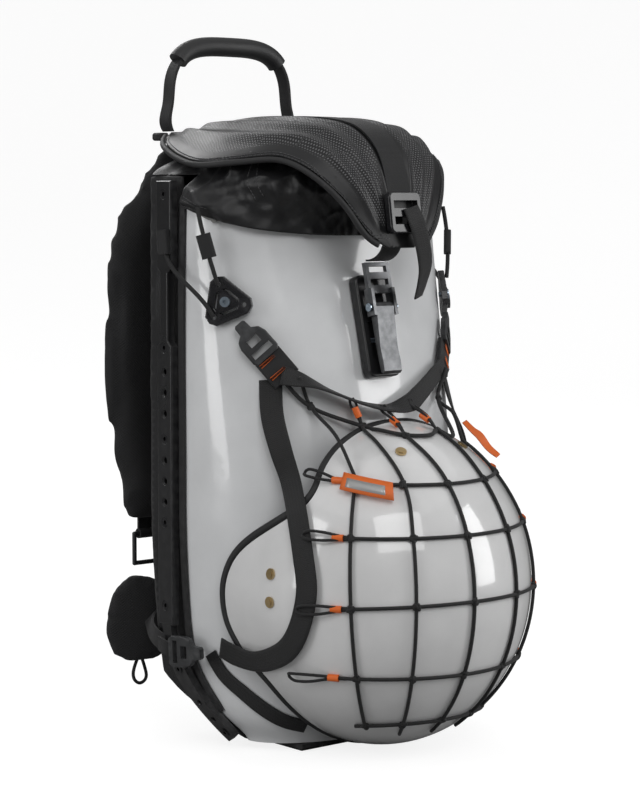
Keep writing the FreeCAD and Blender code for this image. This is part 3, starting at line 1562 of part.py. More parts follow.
def tension_paths():
    """Paths of the left tension cords: from the runner up to the collar's edge, and back to the rail."""
    size = dim("cord_diameter") + 0.6
    frame = nodes["triangle_left"].Placement
    holes = []
    for angle in (90, 210, 330):
        a = math.radians(angle)
        reach = dim("triangle_size") * 0.43
        top = dim("triangle_thickness") + size / 2 + 0.3
        holes.append(frame.multVec(Vector(reach * math.cos(a), reach * math.sin(a), top)))
    upper = max(holes, key=lambda p: p.z)
    rear = min((p for p in holes if p is not upper), key=lambda p: -p.y)
    rim, outward = on_shell(LEFT, 0.20, dim("rim_height") - 10)
    goal = rim + outward * 14
    corner = Vector(-dim("pack_half_width") - 12.4, 3, dim("rail_top") - 60)
    first = spline_edge([upper, upper * 0.55 + goal * 0.45 + outward * 2.5, goal])
    second = spline_edge([rear, rear * 0.5 + corner * 0.5 + Vector(-3, -2, 0), corner, corner + Vector(0.5, 3, 16)])
    return first, second


def make_tension_cord():
    """Cord from the runner up to the collar's edge, and one back to the rail."""
    return Part.makeCompound([tube(edge, dim("cord_diameter") + 0.6) for edge in tension_paths()])


def make_cord_sleeves():
    """Fabric sleeves sewn round the tension cords: one below the collar's tab and one beside the rail."""
    made = []
    for edge, share in zip(tension_paths(), (0.5, 0.93)):
        size = edge.LastParameter - edge.FirstParameter
        at = edge.FirstParameter + size * share
        middle, along = edge.valueAt(at), edge.tangentAt(at)
        face = Vector(-0.72, -0.69, 0) if share < 0.9 else Vector(-1, -0.1, 0)
        block = Part.makeBox(20, 12, 6.4, Vector(-10, -6, -3.2))
        block = block.makeFillet(2.4, [e for e in block.Edges if abs(e.tangentAt(0).x) > 0.99])
        block.Placement = placed(*middle, along, face)
        made.append(cleared(block.cut(tube(edge, dim("cord_diameter") + 0.6 + 0.4)), "rail_left"))
    return made


cords = feature("tension_cords_left", make_tension_cord())
mirrored("tension_cords_right", cords)
feature("cord_sleeves", both_sides(make_cord_sleeves()))

# ---------------------------------------------------------------- catch plate on the shell

CATCH_GAP = 1.4


def catch_frame():
    """Origin on the shell's face at the catch's middle: X across, Y up its slope, Z outwards."""
    z = dim("catch_middle")
    half = dim("catch_height") / 2
    low = Vector(0, -front_depth(z - half), z - half)
    high = Vector(0, -front_depth(z + half), z + half)
    middle = Vector(0, -front_depth(z), z)
    up = (high - low).normalize()
    outward = Vector(1, 0, 0).cross(up)
    bulge = (middle - low).dot(outward)
    return middle + outward * max(0.0, -bulge), up, outward


def clasp_placement(out, up_by=0.0):
    origin, up, outward = catch_frame()
    return placed(*(origin + outward * out + up * up_by), Vector(1, 0, 0), outward)


def make_catch_plate():
    body = make_body("catch_plate", clasp_placement(CATCH_GAP))
    outline = sketch_on(body, "CatchOutline")
    add_rectangle(outline, "catch_width", "catch_height")
    block = pad(body, outline, "catch_thickness - 4")
    doc.recompute()
    rounded = fillet(body, block, edges_along(block.Shape, Vector(0, 0, 1)), "6")
    doc.recompute()
    well = sketch_on(body, "CatchWell", offset=cells("catch_thickness - 4"))
    add_rectangle(well, "catch_width - 12", "30", y="-12")
    cut = pocket(body, well, "5")
    doc.recompute()
    top = dim("catch_thickness") - 4
    rim = [f"Edge{i}" for i, e in enumerate(cut.Shape.Edges, start=1) if abs(e.CenterOfMass.z - top) < 0.01 and (abs(e.CenterOfMass.x) > dim("catch_width") / 2 - 4 or abs(e.CenterOfMass.y) > dim("catch_height") / 2 - 4)]
    fillet(body, cut, rim, "1.6", "FilletRim")
    return body


def make_catch_bar():
    """Steel bar across the catch plate's well."""
    origin, up, outward = catch_frame()
    half = (dim("catch_width") - 12) / 2 - GAP
    centre = origin + outward * (CATCH_GAP + dim("catch_thickness") - 6.6) - up * 12
    return Part.makeCylinder(2, 2 * half, centre - Vector(half, 0, 0), Vector(1, 0, 0))


make_catch_plate()
feature("catch_bar", make_catch_bar())

# ---------------------------------------------------------------- lid

# Stations of the lid from its rear edge to the beak: its middle (y, below the top) and its side edge
# (share of its half width, y, below the top). y is a share of the way from the hinge side to the beak.
LID = [
    ((88, 8.5), (0.597, 88, 10.5)),
    ((74, 5.0), (0.73, 73, 16)),
    ((56, 2.2), (0.86, 50, 22)),
    ((25, 0.0), (0.952, 18, 31)),
    ((-15, 0.0), (1.0, -19, 37)),
    ((-55, 3.0), (0.887, -50, 35)),
    ((-86, 10.0), (0.70, -75, 33)),
    ((-109, 28.0), (0.58, -98, 44)),
    ((-121, 54.0), (0.427, -117, 67)),
    ((-127, 84.0), (0.28, -126, 94)),
    ((-128, 108.0), (0.12, -127, 108)),
]
RIB_DEPTH = 4.2


def lid_scale(y):
    """Stretches a station's y with the lid's own size."""
    if y > 0:
        return y * (dim("lid_hinge_y") - 4) / 88
    return y * (dim("lid_front") - 1) / 128


def lid_point(along, across):
    """A point of the lid's plain outer face: along 0..1 from the hinge to the beak, across -1..1."""
    rows = [(i / (len(LID) - 1), row) for i, row in enumerate(LID)]
    top, wide = dim("lid_top"), dim("lid_half_width")
    mid_y = smooth_run([(t, r[0][0]) for t, r in rows], along)
    mid_drop = smooth_run([(t, r[0][1]) for t, r in rows], along)
    share = smooth_run([(t, r[1][0]) for t, r in rows], along)
    side_y = smooth_run([(t, r[1][1]) for t, r in rows], along)
    side_drop = smooth_run([(t, r[1][2]) for t, r in rows], along)
    bend = abs(across) ** 2.3
    y = mid_y + (side_y - mid_y) * bend
    drop = mid_drop + (side_drop - mid_drop) * bend
    return Vector(across * share * wide, lid_scale(y), top - drop)


def smooth_run(stations, at):
    """Catmull-Rom interpolation through evenly spaced stations."""
    count = len(stations) - 1
    place = min(max(at, 0), 1) * count
    i = min(int(place), count - 1)
    t = place - i
    v = [stations[min(max(i + k, 0), count)][1] for k in (-1, 0, 1, 2)]
    if i == 0:
        v[0] = 2 * v[1] - v[2]
    if i == count - 1:
        v[3] = 2 * v[2] - v[1]
    return 0.5 * (2 * v[1] + (v[2] - v[0]) * t + (2 * v[0] - 5 * v[1] + 4 * v[2] - v[3]) * t**2 + (3 * v[1] - v[0] - 3 * v[2] + v[3]) * t**3)


def rib_height(along, across):
    """Three broad ridges each side that run from the hinge to the beak, level beside the centre strap."""
    away = abs(across)
    sweep = 0.05 * math.sin(math.pi * along)
    height = 0.0
    for middle, wide, share in ((0.30, 0.065, 0.8), (0.53, 0.075, 1.0), (0.76, 0.07, 0.9)):
        height += share * math.exp(-(((away - middle + sweep) / wide) ** 2))
    ends = min(max(along / 0.12, 0), 1) * min(max((0.93 - along) / 0.2, 0), 1)
    return RIB_DEPTH * height * ends * min(max((away - 0.15) / 0.08, 0), 1)


def lid_grid(rows, columns):
    return [[lid_point(i / (rows - 1), 2 * j / (columns - 1) - 1) for j in range(columns)] for i in range(rows)]


def make_lid():
    """Moulded lid with ribs on its outer face."""
    rows, columns = 21, 57
    grid = lid_grid(rows, columns)
    normals = grid_normals(grid)
    top, under = [], []
    for i in range(rows):
        upper, lower = [], []
        for j in range(columns):
            normal = normals[i][j] if normals[i][j].z > 0 or normals[i][j].y < 0 else normals[i][j] * -1
            across = 2 * j / (columns - 1) - 1
            taper = 1 - 0.45 * abs(across) ** 6
            upper.append(grid[i][j] + normal * rib_height(i / (rows - 1), across))
            lower.append(grid[i][j] - normal * dim("lid_thickness") * taper)
        top.append(upper)
        under.append(lower)
    return between(top, under)


feature("lid_panel", make_lid())


def lid_outline(out):
    """The lid's side edges and beak, and its rear edge, moved outwards by out, as a closed run of points."""
    side = []
    for i in range(1, 23):
        point, near = lid_point(i / 23, 1), lid_point(i / 23, 0.94)
        ahead = lid_point(min(i / 23 + 0.02, 1), 1) - lid_point(max(i / 23 - 0.02, 0), 1)
        outward = point - near
        outward = (outward - ahead * (outward.dot(ahead) / ahead.dot(ahead))).normalize()
        inward = outward.cross(ahead).normalize()
        if inward.z > 0:
            inward = inward * -1
        side.append(point + outward * out + inward * dim("lid_thickness") * 0.25)
    return side


def make_binding():
    """Piping that covers the lid's edge, one length down each side to the beak."""
    radius = dim("binding_diameter") / 2
    side = lid_outline(radius + GAP)
    right = tube(spline_edge(side), dim("binding_diameter"))
    left = tube(spline_edge([Vector(-p.x, p.y, p.z) for p in side]), dim("binding_diameter"))
    return Part.makeCompound([left, right])


feature("lid_binding", make_binding())


def lid_line(first, last, count, lift):
    """Points and normals over the middle of the lid."""
    points, normals = [], []
    for i in range(count):
        along = first + (last - first) * i / (count - 1)
        here = lid_point(along, 0)
        ahead = lid_point(min(along + 0.01, 1), 0) - lid_point(max(along - 0.01, 0), 0)
        normal = Vector(1, 0, 0).cross(ahead).normalize()
        if normal.z < 0 and along < 0.6 or normal.y > 0:
            normal = normal * -1
        points.append(here + normal * lift)
        normals.append(normal)
    return points, normals


def make_lid_strap():
    """Centre strap from the rear of the lid to the buckle on the beak."""
    points, normals = lid_line(0.10, 0.835, 12, GAP)
    return cleared(ribbon(points, normals, dim("lid_strap_width"), dim("tape_thickness")), "lid_buckle", "lid_panel")


def make_buckle():
    """Ladder-lock buckle: two windows for the strap and a raised lip."""
    points, normals = lid_line(0.84, 0.93, 3, 4 * GAP)
    middle, normal = points[1], normals[1]
    up = (points[0] - points[2]).normalize()
    body = make_body("lid_buckle", placed(*middle, Vector(1, 0, 0), normal))
    outline = sketch_on(body, "BuckleOutline")
    add_rectangle(outline, "lid_strap_width + 10", "34")
    block = pad(body, outline, "6")
    doc.recompute()
    soft = fillet(body, block, edges_along(block.Shape, Vector(0, 0, 1)), "5")
    doc.recompute()
    windows = sketch_on(body, "BuckleWindows")
    add_rectangle(windows, "lid_strap_width + 1", "6.5", y="6.6", tag="upper")
    add_rectangle(windows, "lid_strap_width + 1", "6.5", y="-6.6", tag="lower")
    cut = pocket(body, windows)
    doc.recompute()
    rim = [f"Edge{i}" for i, e in enumerate(cut.Shape.Edges, start=1) if abs(e.CenterOfMass.z - 6) < 0.01 and (abs(e.CenterOfMass.x) > dim("lid_strap_width") / 2 + 1 or abs(e.CenterOfMass.y) > 13)]
    fillet(body, cut, rim, "1.5", "FilletRim")
    return body


make_buckle()
feature("lid_strap", make_lid_strap())

# ---------------------------------------------------------------- clasp below the beak

PIN_OUT = CATCH_GAP + 9.4 + 7.4


def make_clasp_frame():
    """Cast frame: a ladder plate for the strap above two cheeks that carry the pin."""
    frame = clasp_placement(PIN_OUT, 14)
    wide, wall, high = dim("clasp_width"), dim("clasp_wall"), dim("clasp_length")
    body = make_body("clasp_frame", frame)
    plate = sketch_on(body, "ClaspPlate", offset="-2")
    add_rectangle(plate, "clasp_width", "clasp_length * 0.5", y="clasp_length * 0.47")
    pad(body, plate, "4", name="LadderPad")
    cheeks = sketch_on(body, "ClaspCheeks", offset="-4.6")
    for tag, sign in (("a", "1"), ("b", "-1")):
        add_rectangle(cheeks, "clasp_wall", "clasp_length * 0.44", f"{sign} * (clasp_width / 2 - clasp_wall / 2)", "clasp_length * 0.08", tag)
    both = pad(body, cheeks, "9.2", name="CheekPad")
    windows = sketch_on(body, "ClaspWindows")
    for tag, place in (("a", "0.61"), ("b", "0.40")):
        add_rectangle(windows, "clasp_width - 7", "clasp_length * 0.1", "0", f"clasp_length * {place}", tag)
    pocket(body, windows, name="ClaspWindowCut")
    bore = sketch_on(body, "ClaspBore", role="YZ_Plane")
    add_circle(bore, "4.4")
    last = pocket(body, bore, name="ClaspBoreCut")
    doc.recompute()
    return body


def make_clasp_pin():
    place = clasp_placement(PIN_OUT, 14)
    half = dim("clasp_width") / 2 + 1.2
    rod = Part.makeCylinder(2, 2 * half, place.Base - Vector(half, 0, 0), Vector(1, 0, 0))
    heads = [Part.makeCylinder(3.4, 1.2, place.Base + Vector(x, 0, 0), Vector(1, 0, 0)) for x in (-half - 0.8, half - 0.4)]
    return rod.fuse(heads).removeSplitter()


def make_clasp_lever():
    """Lever between the cheeks: a rounded hub, a waist and a spoon-shaped thumb end."""
    body = make_body("clasp_lever", clasp_placement(PIN_OUT, 14))
    side = sketch_on(body, "LeverSide", role="YZ_Plane")
    hub = 4.2
    shape = [(3.0, 3.0), (0, hub), (-3.0, 3.0), (-hub, 0), (-3.6, -8), (-1.2, -34), (-2.2, -46), (-2.0, -54)]
    shape += [(0.6, -56), (2.6, -54), (3.4, -44), (4.0, -24), (hub, 0)]
    add_outline(side, [Vector(y, -x, 0) for x, y in shape])
    block = pad(body, side, "clasp_width - 2 * clasp_wall - 2 * fit_gap", midplane=True)
    bore = sketch_on(body, "LeverBore", role="YZ_Plane")
    add_circle(bore, "4.8")
    cut = pocket(body, bore)
    doc.recompute()
    return body


def make_clasp_strap():
    """Webbing from under the beak back to the clasp's ladder plate."""
    place = clasp_placement(PIN_OUT, 14)
    top = place.multVec(Vector(0, dim("clasp_length") * 0.72 + 1.2, 0))
    tip = lid_point(0.985, 0) + Vector(0, dim("lid_thickness") + 1.2, 0)
    points = [tip + Vector(0, 0, 14), tip + Vector(0, 0.4, 4), tip + Vector(0, 3.5, -5), tip * 0.4 + top * 0.6 + Vector(0, 0, -4.5), top]
    normals = [Vector(0, 1, 0), Vector(0, 1, 0.15), Vector(0, 0.75, 0.66), Vector(0, 0.2, 1), Vector(0, 0.1, 1)]
    return ribbon(points, normals, 20, dim("tape_thickness"))


make_clasp_frame()
feature("clasp_strap", make_clasp_strap())
feature("clasp_pin", make_clasp_pin())
make_clasp_lever()

# ---------------------------------------------------------------- grab handle


def handle_path():
    half, y = dim("handle_half_width"), dim("handle_y")
    foot, top = dim("handle_foot"), dim("handle_top")
    shares = [(1.0, 0.0), (1.01, 0.3), (0.97, 0.58), (0.84, 0.82), (0.62, 0.95), (0.32, 0.995), (0.0, 1.0)]
    left = [Vector(-half * s, y, foot + (top - foot) * t) for s, t in shares]
    return left + [Vector(-p.x, y, p.z) for p in reversed(left[:-1])]


def handle_normals(points):
    found = []
    for i in range(len(points)):
        ahead = points[min(i + 1, len(points) - 1)] - points[max(i - 1, 0)]
        found.append(ahead.cross(Vector(0, 1, 0)).normalize() * -1)
    return found


def make_handle_webbing(extra=0.0):
    points = handle_path()
    normals = handle_normals(points)
    thick = 2.4 + 2 * extra
    points = [p - n * (thick / 2) for p, n in zip(points, normals)]
    return ribbon(points, normals, dim("handle_tape_width") - 4 + 2 * extra, thick)


def make_handle_grip():
    """Sleeve round the middle of the handle's webbing."""
    points = handle_path()
    radius = dim("grip_diameter") / 2
    rings = []
    for i in range(3, len(points) - 3):
        ahead = points[i + 1] - points[i - 1]
        rings.append(Part.Wire([Part.makeCircle(radius, points[i], ahead)]))
    return Part.makeLoft(rings, True, False).cut(make_handle_webbing(0.4))


feature("handle_webbing", make_handle_webbing())
feature("handle_grip", make_handle_grip())


def make_handle_yoke():
    """Sewn bar on top of the harness that the handle folds on, slotted where the handle's feet turn."""
    half, y = dim("handle_half_width") + 14, dim("handle_y")
    bar = Part.makeBox(2 * half, 13, 7, Vector(-half, y - 6.5, dim("handle_foot") - 8.2))
    bar = bar.makeFillet(2.4, bar.Edges)
    hinge = dim("handle_foot") + 1.5
    room = (dim("handle_tape_width") - 4) / 2 + 0.7
    for side in (LEFT, RIGHT):
        corner = Vector(side * dim("handle_half_width") - 5, y - 7.5, hinge - room)
        bar = bar.cut(Part.makeBox(10, 15, 2 * room, corner))
    return bar


feature("handle_yoke", make_handle_yoke())

# ---------------------------------------------------------------- checks and files

doc.recompute()
for obj in doc.Objects:
    if "Invalid" in obj.State or "Error" in obj.State:
        raise RuntimeError(f"{obj.Name}: {obj.State}")

os.makedirs("parts", exist_ok=True)
for label, obj in nodes.items():
    shape = obj.Shape
    if shape.isNull() or not shape.isValid():
        raise RuntimeError(f"{label}: the shape is null or not valid")
    shape.exportStep(f"parts/{label}.step")
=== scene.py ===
import json
import math

import bmesh
import bpy
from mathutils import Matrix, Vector, noise
from mathutils.bvhtree import BVHTree
from mathutils.kdtree import KDTree


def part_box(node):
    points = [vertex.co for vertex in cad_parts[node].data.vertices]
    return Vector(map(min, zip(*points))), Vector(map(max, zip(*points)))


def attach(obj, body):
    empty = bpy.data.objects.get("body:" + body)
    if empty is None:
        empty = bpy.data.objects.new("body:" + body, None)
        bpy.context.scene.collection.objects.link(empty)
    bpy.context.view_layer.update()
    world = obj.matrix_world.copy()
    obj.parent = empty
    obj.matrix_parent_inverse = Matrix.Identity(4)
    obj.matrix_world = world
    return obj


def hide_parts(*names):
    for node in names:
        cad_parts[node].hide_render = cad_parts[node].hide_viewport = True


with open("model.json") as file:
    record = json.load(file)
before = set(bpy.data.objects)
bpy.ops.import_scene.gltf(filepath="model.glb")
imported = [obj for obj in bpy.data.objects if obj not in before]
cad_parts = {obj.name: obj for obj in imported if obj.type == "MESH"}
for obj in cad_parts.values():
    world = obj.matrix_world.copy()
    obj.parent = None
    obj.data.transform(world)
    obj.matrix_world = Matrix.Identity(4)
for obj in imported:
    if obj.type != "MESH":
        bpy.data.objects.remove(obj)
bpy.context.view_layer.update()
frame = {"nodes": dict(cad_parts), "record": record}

# Ski backpack: the looks round the fixed frame. Metres; +Z up, -Y the shell's front, +Y the wearer.
NODES = frame["nodes"]
SLOT_OF = {part["node"]: part["material_slot"] for part in frame["record"]["subparts"]}
MM = 0.001
LEFT, RIGHT = -1, 1


def mm(x, y, z):
    return Vector((x, y, z)) * MM


# ---------------------------------------------------------------- shader groups


class Wiring:
    """Short calls for the nodes of one tree."""

    def __init__(self, tree):
        self.tree = tree

    def node(self, kind, **settings):
        made = self.tree.nodes.new(kind)
        for key, value in settings.items():
            setattr(made, key, value)
        return made

    def feed(self, socket, value):
        if isinstance(value, bpy.types.NodeSocket):
            self.tree.links.new(value, socket)
        elif value is not None:
            socket.default_value = value

    def math(self, operation, a, b=None, clamp=False):
        made = self.node("ShaderNodeMath", operation=operation, use_clamp=clamp)
        self.feed(made.inputs[0], a)
        self.feed(made.inputs[1], b)
        return made.outputs[0]

    def vector(self, operation, a, b=None):
        made = self.node("ShaderNodeVectorMath", operation=operation)
        self.feed(made.inputs[0], a)
        if operation == "SCALE":
            self.feed(made.inputs["Scale"], b)
        else:
            self.feed(made.inputs[1], b)
        return made.outputs["Value" if operation in ("LENGTH", "DOT_PRODUCT") else "Vector"]

    def split(self, vector):
        made = self.node("ShaderNodeSeparateXYZ")
        self.feed(made.inputs[0], vector)
        return made.outputs

    def noise(self, vector, scale, detail=2.0):
        made = self.node("ShaderNodeTexNoise")
        self.feed(made.inputs["Vector"], vector)
        self.feed(made.inputs["Scale"], scale)
        made.inputs["Detail"].default_value = detail
        return made.outputs[0]

    def ramp(self, value, low, high, start=0.0, end=1.0):
        made = self.node("ShaderNodeMapRange")
        for socket, number in zip(made.inputs, (value, low, high, start, end)):
            self.feed(socket, number)
        return made.outputs[0]

    def blend(self, share, first, second):
        made = self.node("ShaderNodeMix", data_type="RGBA")
        self.feed(made.inputs["Factor"], share)
        self.feed(made.inputs["A"], first)
        self.feed(made.inputs["B"], second)
        return made.outputs["Result"]


def shader_group(name, inputs, output):
    """An empty shader group: inputs are (name, default) floats after a Vector; one float output."""
    tree = bpy.data.node_groups.new(name, "ShaderNodeTree")
    tree.interface.new_socket(name="Vector", in_out="INPUT", socket_type="NodeSocketVector")
    for label, value in inputs:
        tree.interface.new_socket(name=label, in_out="INPUT", socket_type="NodeSocketFloat").default_value = value
    tree.interface.new_socket(name=output, in_out="OUTPUT", socket_type="NodeSocketFloat")
    return Wiring(tree), tree.nodes.new("NodeGroupInput").outputs, tree.nodes.new("NodeGroupOutput").inputs


def make_weave_group():
    """Threads over and under on whichever side a face looks to. Pitch is in millimetres."""
    wires, given, put = shader_group("thread_weave", [("Pitch", 1.5)], "Height")
    turns = wires.math("DIVIDE", 2 * math.pi / MM, given["Pitch"])
    waves = wires.split(wires.vector("SINE", wires.vector("SCALE", given["Vector"], turns)))
    normal = wires.node("ShaderNodeTexCoord").outputs["Normal"]
    weights = wires.split(wires.vector("MULTIPLY", normal, normal))
    total = None
    for axis, (a, b) in enumerate(((1, 2), (0, 2), (0, 1))):
        face = wires.math("MULTIPLY", weights[axis], wires.math("MULTIPLY", waves[a], waves[b]))
        total = face if total is None else wires.math("ADD", total, face)
    wires.feed(put["Height"], wires.ramp(total, -1.0, 1.0))
    return wires.tree


def make_webbing_group():
    """Ribbed webbing on a strap's own map: cross ribs in a few lengthwise columns. Pitch is in millimetres."""
    wires, given, put = shader_group("webbing_ribs", [("Pitch", 1.2)], "Height")
    turns = wires.math("DIVIDE", 2 * math.pi / MM, given["Pitch"])
    spots = wires.split(wires.vector("SCALE", given["Vector"], turns))
    across = wires.math("SINE", wires.math("MULTIPLY", spots[1], 0.55))
    lean = wires.math("MULTIPLY", across, 1.4)
    rib = wires.math("SINE", wires.math("ADD", spots[0], lean))
    column = wires.math("MULTIPLY", wires.math("ABSOLUTE", across), 0.5)
    wires.feed(put["Height"], wires.ramp(wires.math("ADD", rib, column), -1.0, 1.5))
    return wires.tree


def make_grain_group():
    """Fine moulded grain. Size is in millimetres."""
    wires, given, put = shader_group("moulded_grain", [("Size", 1.0)], "Height")
    wires.feed(put["Height"], wires.noise(given["Vector"], wires.math("DIVIDE", 1 / MM, given["Size"]), 3.0))
    return wires.tree


def make_tone_group():
    """Slow change of tone over a surface. Size is in millimetres."""
    wires, given, put = shader_group("slow_tone", [("Size", 40.0)], "Share")
    patch = wires.noise(given["Vector"], wires.math("DIVIDE", 1 / MM, given["Size"]), 4.0)
    wires.feed(put["Share"], wires.ramp(patch, 0.3, 0.7))
    return wires.tree


def make_edge_group():
    """Where edges are rubbed: sharp outward edges, broken up."""
    wires, given, put = shader_group("rubbed_edges", [("Amount", 1.0)], "Share")
    sharp = wires.node("ShaderNodeNewGeometry").outputs["Pointiness"]
    edge = wires.ramp(sharp, 0.52, 0.60)
    patch = wires.ramp(wires.noise(given["Vector"], 160.0, 5.0), 0.35, 0.65)
    wires.feed(put["Share"], wires.math("MULTIPLY", wires.math("MULTIPLY", edge, patch), given["Amount"], clamp=True))
    return wires.tree


def make_hole_group():
    """Rows of round holes set in staggered lines on a piece's own map. Pitch is in millimetres."""
    wires, given, put = shader_group("staggered_holes", [("Pitch", 3.0)], "Share")
    size = wires.math("DIVIDE", 1 / MM, given["Pitch"])
    tall = math.sqrt(3)
    spots = wires.vector("MULTIPLY", wires.vector("SCALE", given["Vector"], size), (1, 1 / tall, 0))
    nearest = None
    for shift in (0.0, 0.5):
        cell = wires.vector("FRACTION", wires.vector("ADD", spots, (shift, shift, 0)))
        away = wires.vector("MULTIPLY", wires.vector("SUBTRACT", cell, (0.5, 0.5, 0)), (1, tall, 0))
        reach = wires.vector("LENGTH", away)
        nearest = reach if nearest is None else wires.math("MINIMUM", nearest, reach)
    wires.feed(put["Share"], wires.ramp(nearest, 0.30, 0.20))
    return wires.tree


PATTERNS = {
    "weave": make_weave_group(),
    "ribs": make_webbing_group(),
    "grain": make_grain_group(),
    "holes": make_hole_group(),
}
TONE = make_tone_group()
EDGES = make_edge_group()


def finish(name, colour, rough, pattern="grain", pitch=1.0, depth=0.02, accent=None, mapped=False, rub=0.0, **extra):
    """A finish: base colour with slow tone, a fine pattern as height and accent, and rubbed edges."""
    made = bpy.data.materials.new(name)
    made.use_nodes = True
    wires = Wiring(made.node_tree)
    shader = made.node_tree.nodes["Principled BSDF"]
    places = wires.node("ShaderNodeTexCoord").outputs
    spot = places["Object"]

    def use(tree, vector, setting, value):
        block = wires.node("ShaderNodeGroup", node_tree=tree)
        wires.feed(block.inputs["Vector"], vector)
        block.inputs[setting].default_value = value
        return block.outputs[0]

    height = use(PATTERNS[pattern], places["UV"] if mapped else spot, "Size" if pattern == "grain" else "Pitch", pitch)
    tone = use(TONE, spot, "Size", 45.0)
    base = (*colour, 1.0)
    second = (*(accent or [c * 0.78 for c in colour]), 1.0)
    share = height
    if pattern == "holes":
        gate = wires.node("ShaderNodeAttribute", attribute_name="open_mesh").outputs["Fac"]
        share = wires.math("MULTIPLY", height, gate)
        height = share
    shade = wires.blend(share, second if pattern != "holes" else base, base if pattern != "holes" else second)
    darker = wires.vector("SCALE", shade, 0.9)
    shade = wires.blend(tone, darker, shade)
    if rub:
        worn = use(EDGES, spot, "Amount", rub)
        pale = wires.vector("ADD", wires.vector("SCALE", shade, 1.6), (0.05, 0.05, 0.05))
        shade = wires.blend(worn, shade, pale)
    wires.feed(shader.inputs["Base Color"], shade)
    wires.feed(shader.inputs["Roughness"], wires.ramp(tone, 0.0, 1.0, max(rough - 0.04, 0.02), rough + 0.05))
    bump = wires.node("ShaderNodeBump")
    bump.inputs["Distance"].default_value = depth * MM
    wires.feed(bump.inputs["Height"], height)
    wires.feed(shader.inputs["Normal"], bump.outputs["Normal"])
    for socket, value in extra.items():
        shader.inputs[socket.replace("_", " ").title().replace("Ior", "IOR")].default_value = value
    return made


def make_finishes():
    """Every finish, by the record's slot name; a few more for pieces made here."""
    cloth = dict(pattern="weave", sheen_weight=0.10, sheen_roughness=0.45)
    made = {
        "white_shell": finish("white_shell", (0.80, 0.81, 0.82), 0.16, pitch=0.7, depth=0.004,
                              accent=(0.78, 0.79, 0.80), coat_weight=0.6, coat_roughness=0.04),
        "black_fabric": finish("black_fabric", (0.011, 0.011, 0.012), 0.72, pitch=0.9, depth=0.12,
                               accent=(0.006, 0.006, 0.007), **cloth),
        "lid_foam": finish("lid_foam", (0.008, 0.008, 0.009), 0.44, pattern="holes", pitch=2.4, depth=-0.35,
                           accent=(0.17, 0.17, 0.175), mapped=True),
        "pad_mesh": finish("pad_mesh", (0.016, 0.016, 0.017), 0.84, pitch=2.4, depth=0.45,
                           accent=(0.009, 0.009, 0.010), **cloth),
        "board": finish("board", (0.05, 0.05, 0.05), 0.6, pitch=0.8, depth=0.06),
        "stay_metal": finish("stay_metal", (0.62, 0.63, 0.65), 0.34, pitch=0.4, depth=0.01, metallic=1.0),
        "webbing": finish("webbing", (0.011, 0.011, 0.012), 0.66, pitch=1.5, depth=0.22,
                          accent=(0.006, 0.006, 0.007), **cloth),
        "rail_plastic": finish("rail_plastic", (0.013, 0.013, 0.014), 0.30, pitch=0.5, depth=0.025, rub=0.5),
        "screw_black": finish("screw_black", (0.02, 0.02, 0.022), 0.3, pitch=0.5, depth=0.01, metallic=0.6, rub=0.6),
        "screw_zinc": finish("screw_zinc", (0.42, 0.50, 0.58), 0.28, pitch=0.5, depth=0.02, metallic=1.0, rub=0.4),
        "rubber": finish("rubber", (0.02, 0.02, 0.021), 0.62, pitch=0.6, depth=0.03, rub=0.3),
        "trim_plastic": finish("trim_plastic", (0.014, 0.014, 0.016), 0.2, pitch=0.8, depth=0.01, rub=0.4),
        "hook_plastic": finish("hook_plastic", (0.028, 0.029, 0.031), 0.38, pitch=0.5, depth=0.03, rub=0.6),
        "cord": finish("cord", (0.016, 0.016, 0.017), 0.7, pitch=1.3, depth=0.25, accent=(0.005, 0.005, 0.005), **cloth),
        "helmet_white": finish("helmet_white", (0.82, 0.82, 0.82), 0.13, pitch=0.7, depth=0.004,
                               accent=(0.80, 0.80, 0.80), coat_weight=0.8, coat_roughness=0.03),
        "liner": finish("liner", (0.03, 0.03, 0.032), 0.9, pitch=2.0, depth=0.2, **cloth),
        "brass": finish("brass", (0.62, 0.46, 0.24), 0.28, pitch=0.6, depth=0.01, metallic=1.0, rub=0.4),
        "orange": finish("orange", (0.86, 0.17, 0.022), 0.42, pitch=0.9, depth=0.05, accent=(0.78, 0.14, 0.018)),
        "tag": finish("tag", (0.88, 0.20, 0.03), 0.55, pattern="weave", pitch=0.9, depth=0.08, accent=(0.7, 0.12, 0.02)),
        "clasp_metal": finish("clasp_metal", (0.14, 0.143, 0.148), 0.40, pitch=0.6, depth=0.015, metallic=1.0, rub=0.5),
        "grip": finish("grip", (0.020, 0.020, 0.021), 0.48, pitch=1.1, depth=0.2, accent=(0.018, 0.018, 0.019)),
    }
    made["silver_tape"] = finish("silver_tape", (0.50, 0.50, 0.49), 0.35, pattern="weave", pitch=1.1, depth=0.05,
                                 accent=(0.40, 0.40, 0.40), metallic=0.35)
    made["ribbed_webbing"] = finish("ribbed_webbing", (0.013, 0.013, 0.014), 0.62, pattern="ribs", pitch=1.5,
                                    depth=0.3, accent=(0.004, 0.004, 0.004), mapped=True, sheen_weight=0.08)
    made["seam_thread"] = finish("seam_thread", (0.085, 0.085, 0.088), 0.6, pattern="weave", pitch=0.5, depth=0.05)
    made["grey_ribbon"] = finish("grey_ribbon", (0.33, 0.33, 0.32), 0.6, pattern="weave", pitch=1.0, depth=0.1)
    made["softshell"] = finish("softshell", (0.010, 0.010, 0.011), 0.44, pattern="weave", pitch=0.8, depth=0.08,
                               accent=(0.007, 0.007, 0.008), sheen_weight=0.12, sheen_roughness=0.4)
    return made


FINISH = make_finishes()


def dress_nodes():
    """Each CAD node takes the finish of its own slot."""
    for name, obj in NODES.items():
        made = FINISH[SLOT_OF[name]]
        if obj.material_slots:
            for spot in obj.material_slots:
                spot.material = made
        else:
            obj.data.materials.append(made)


dress_nodes()

# ---------------------------------------------------------------- making pieces


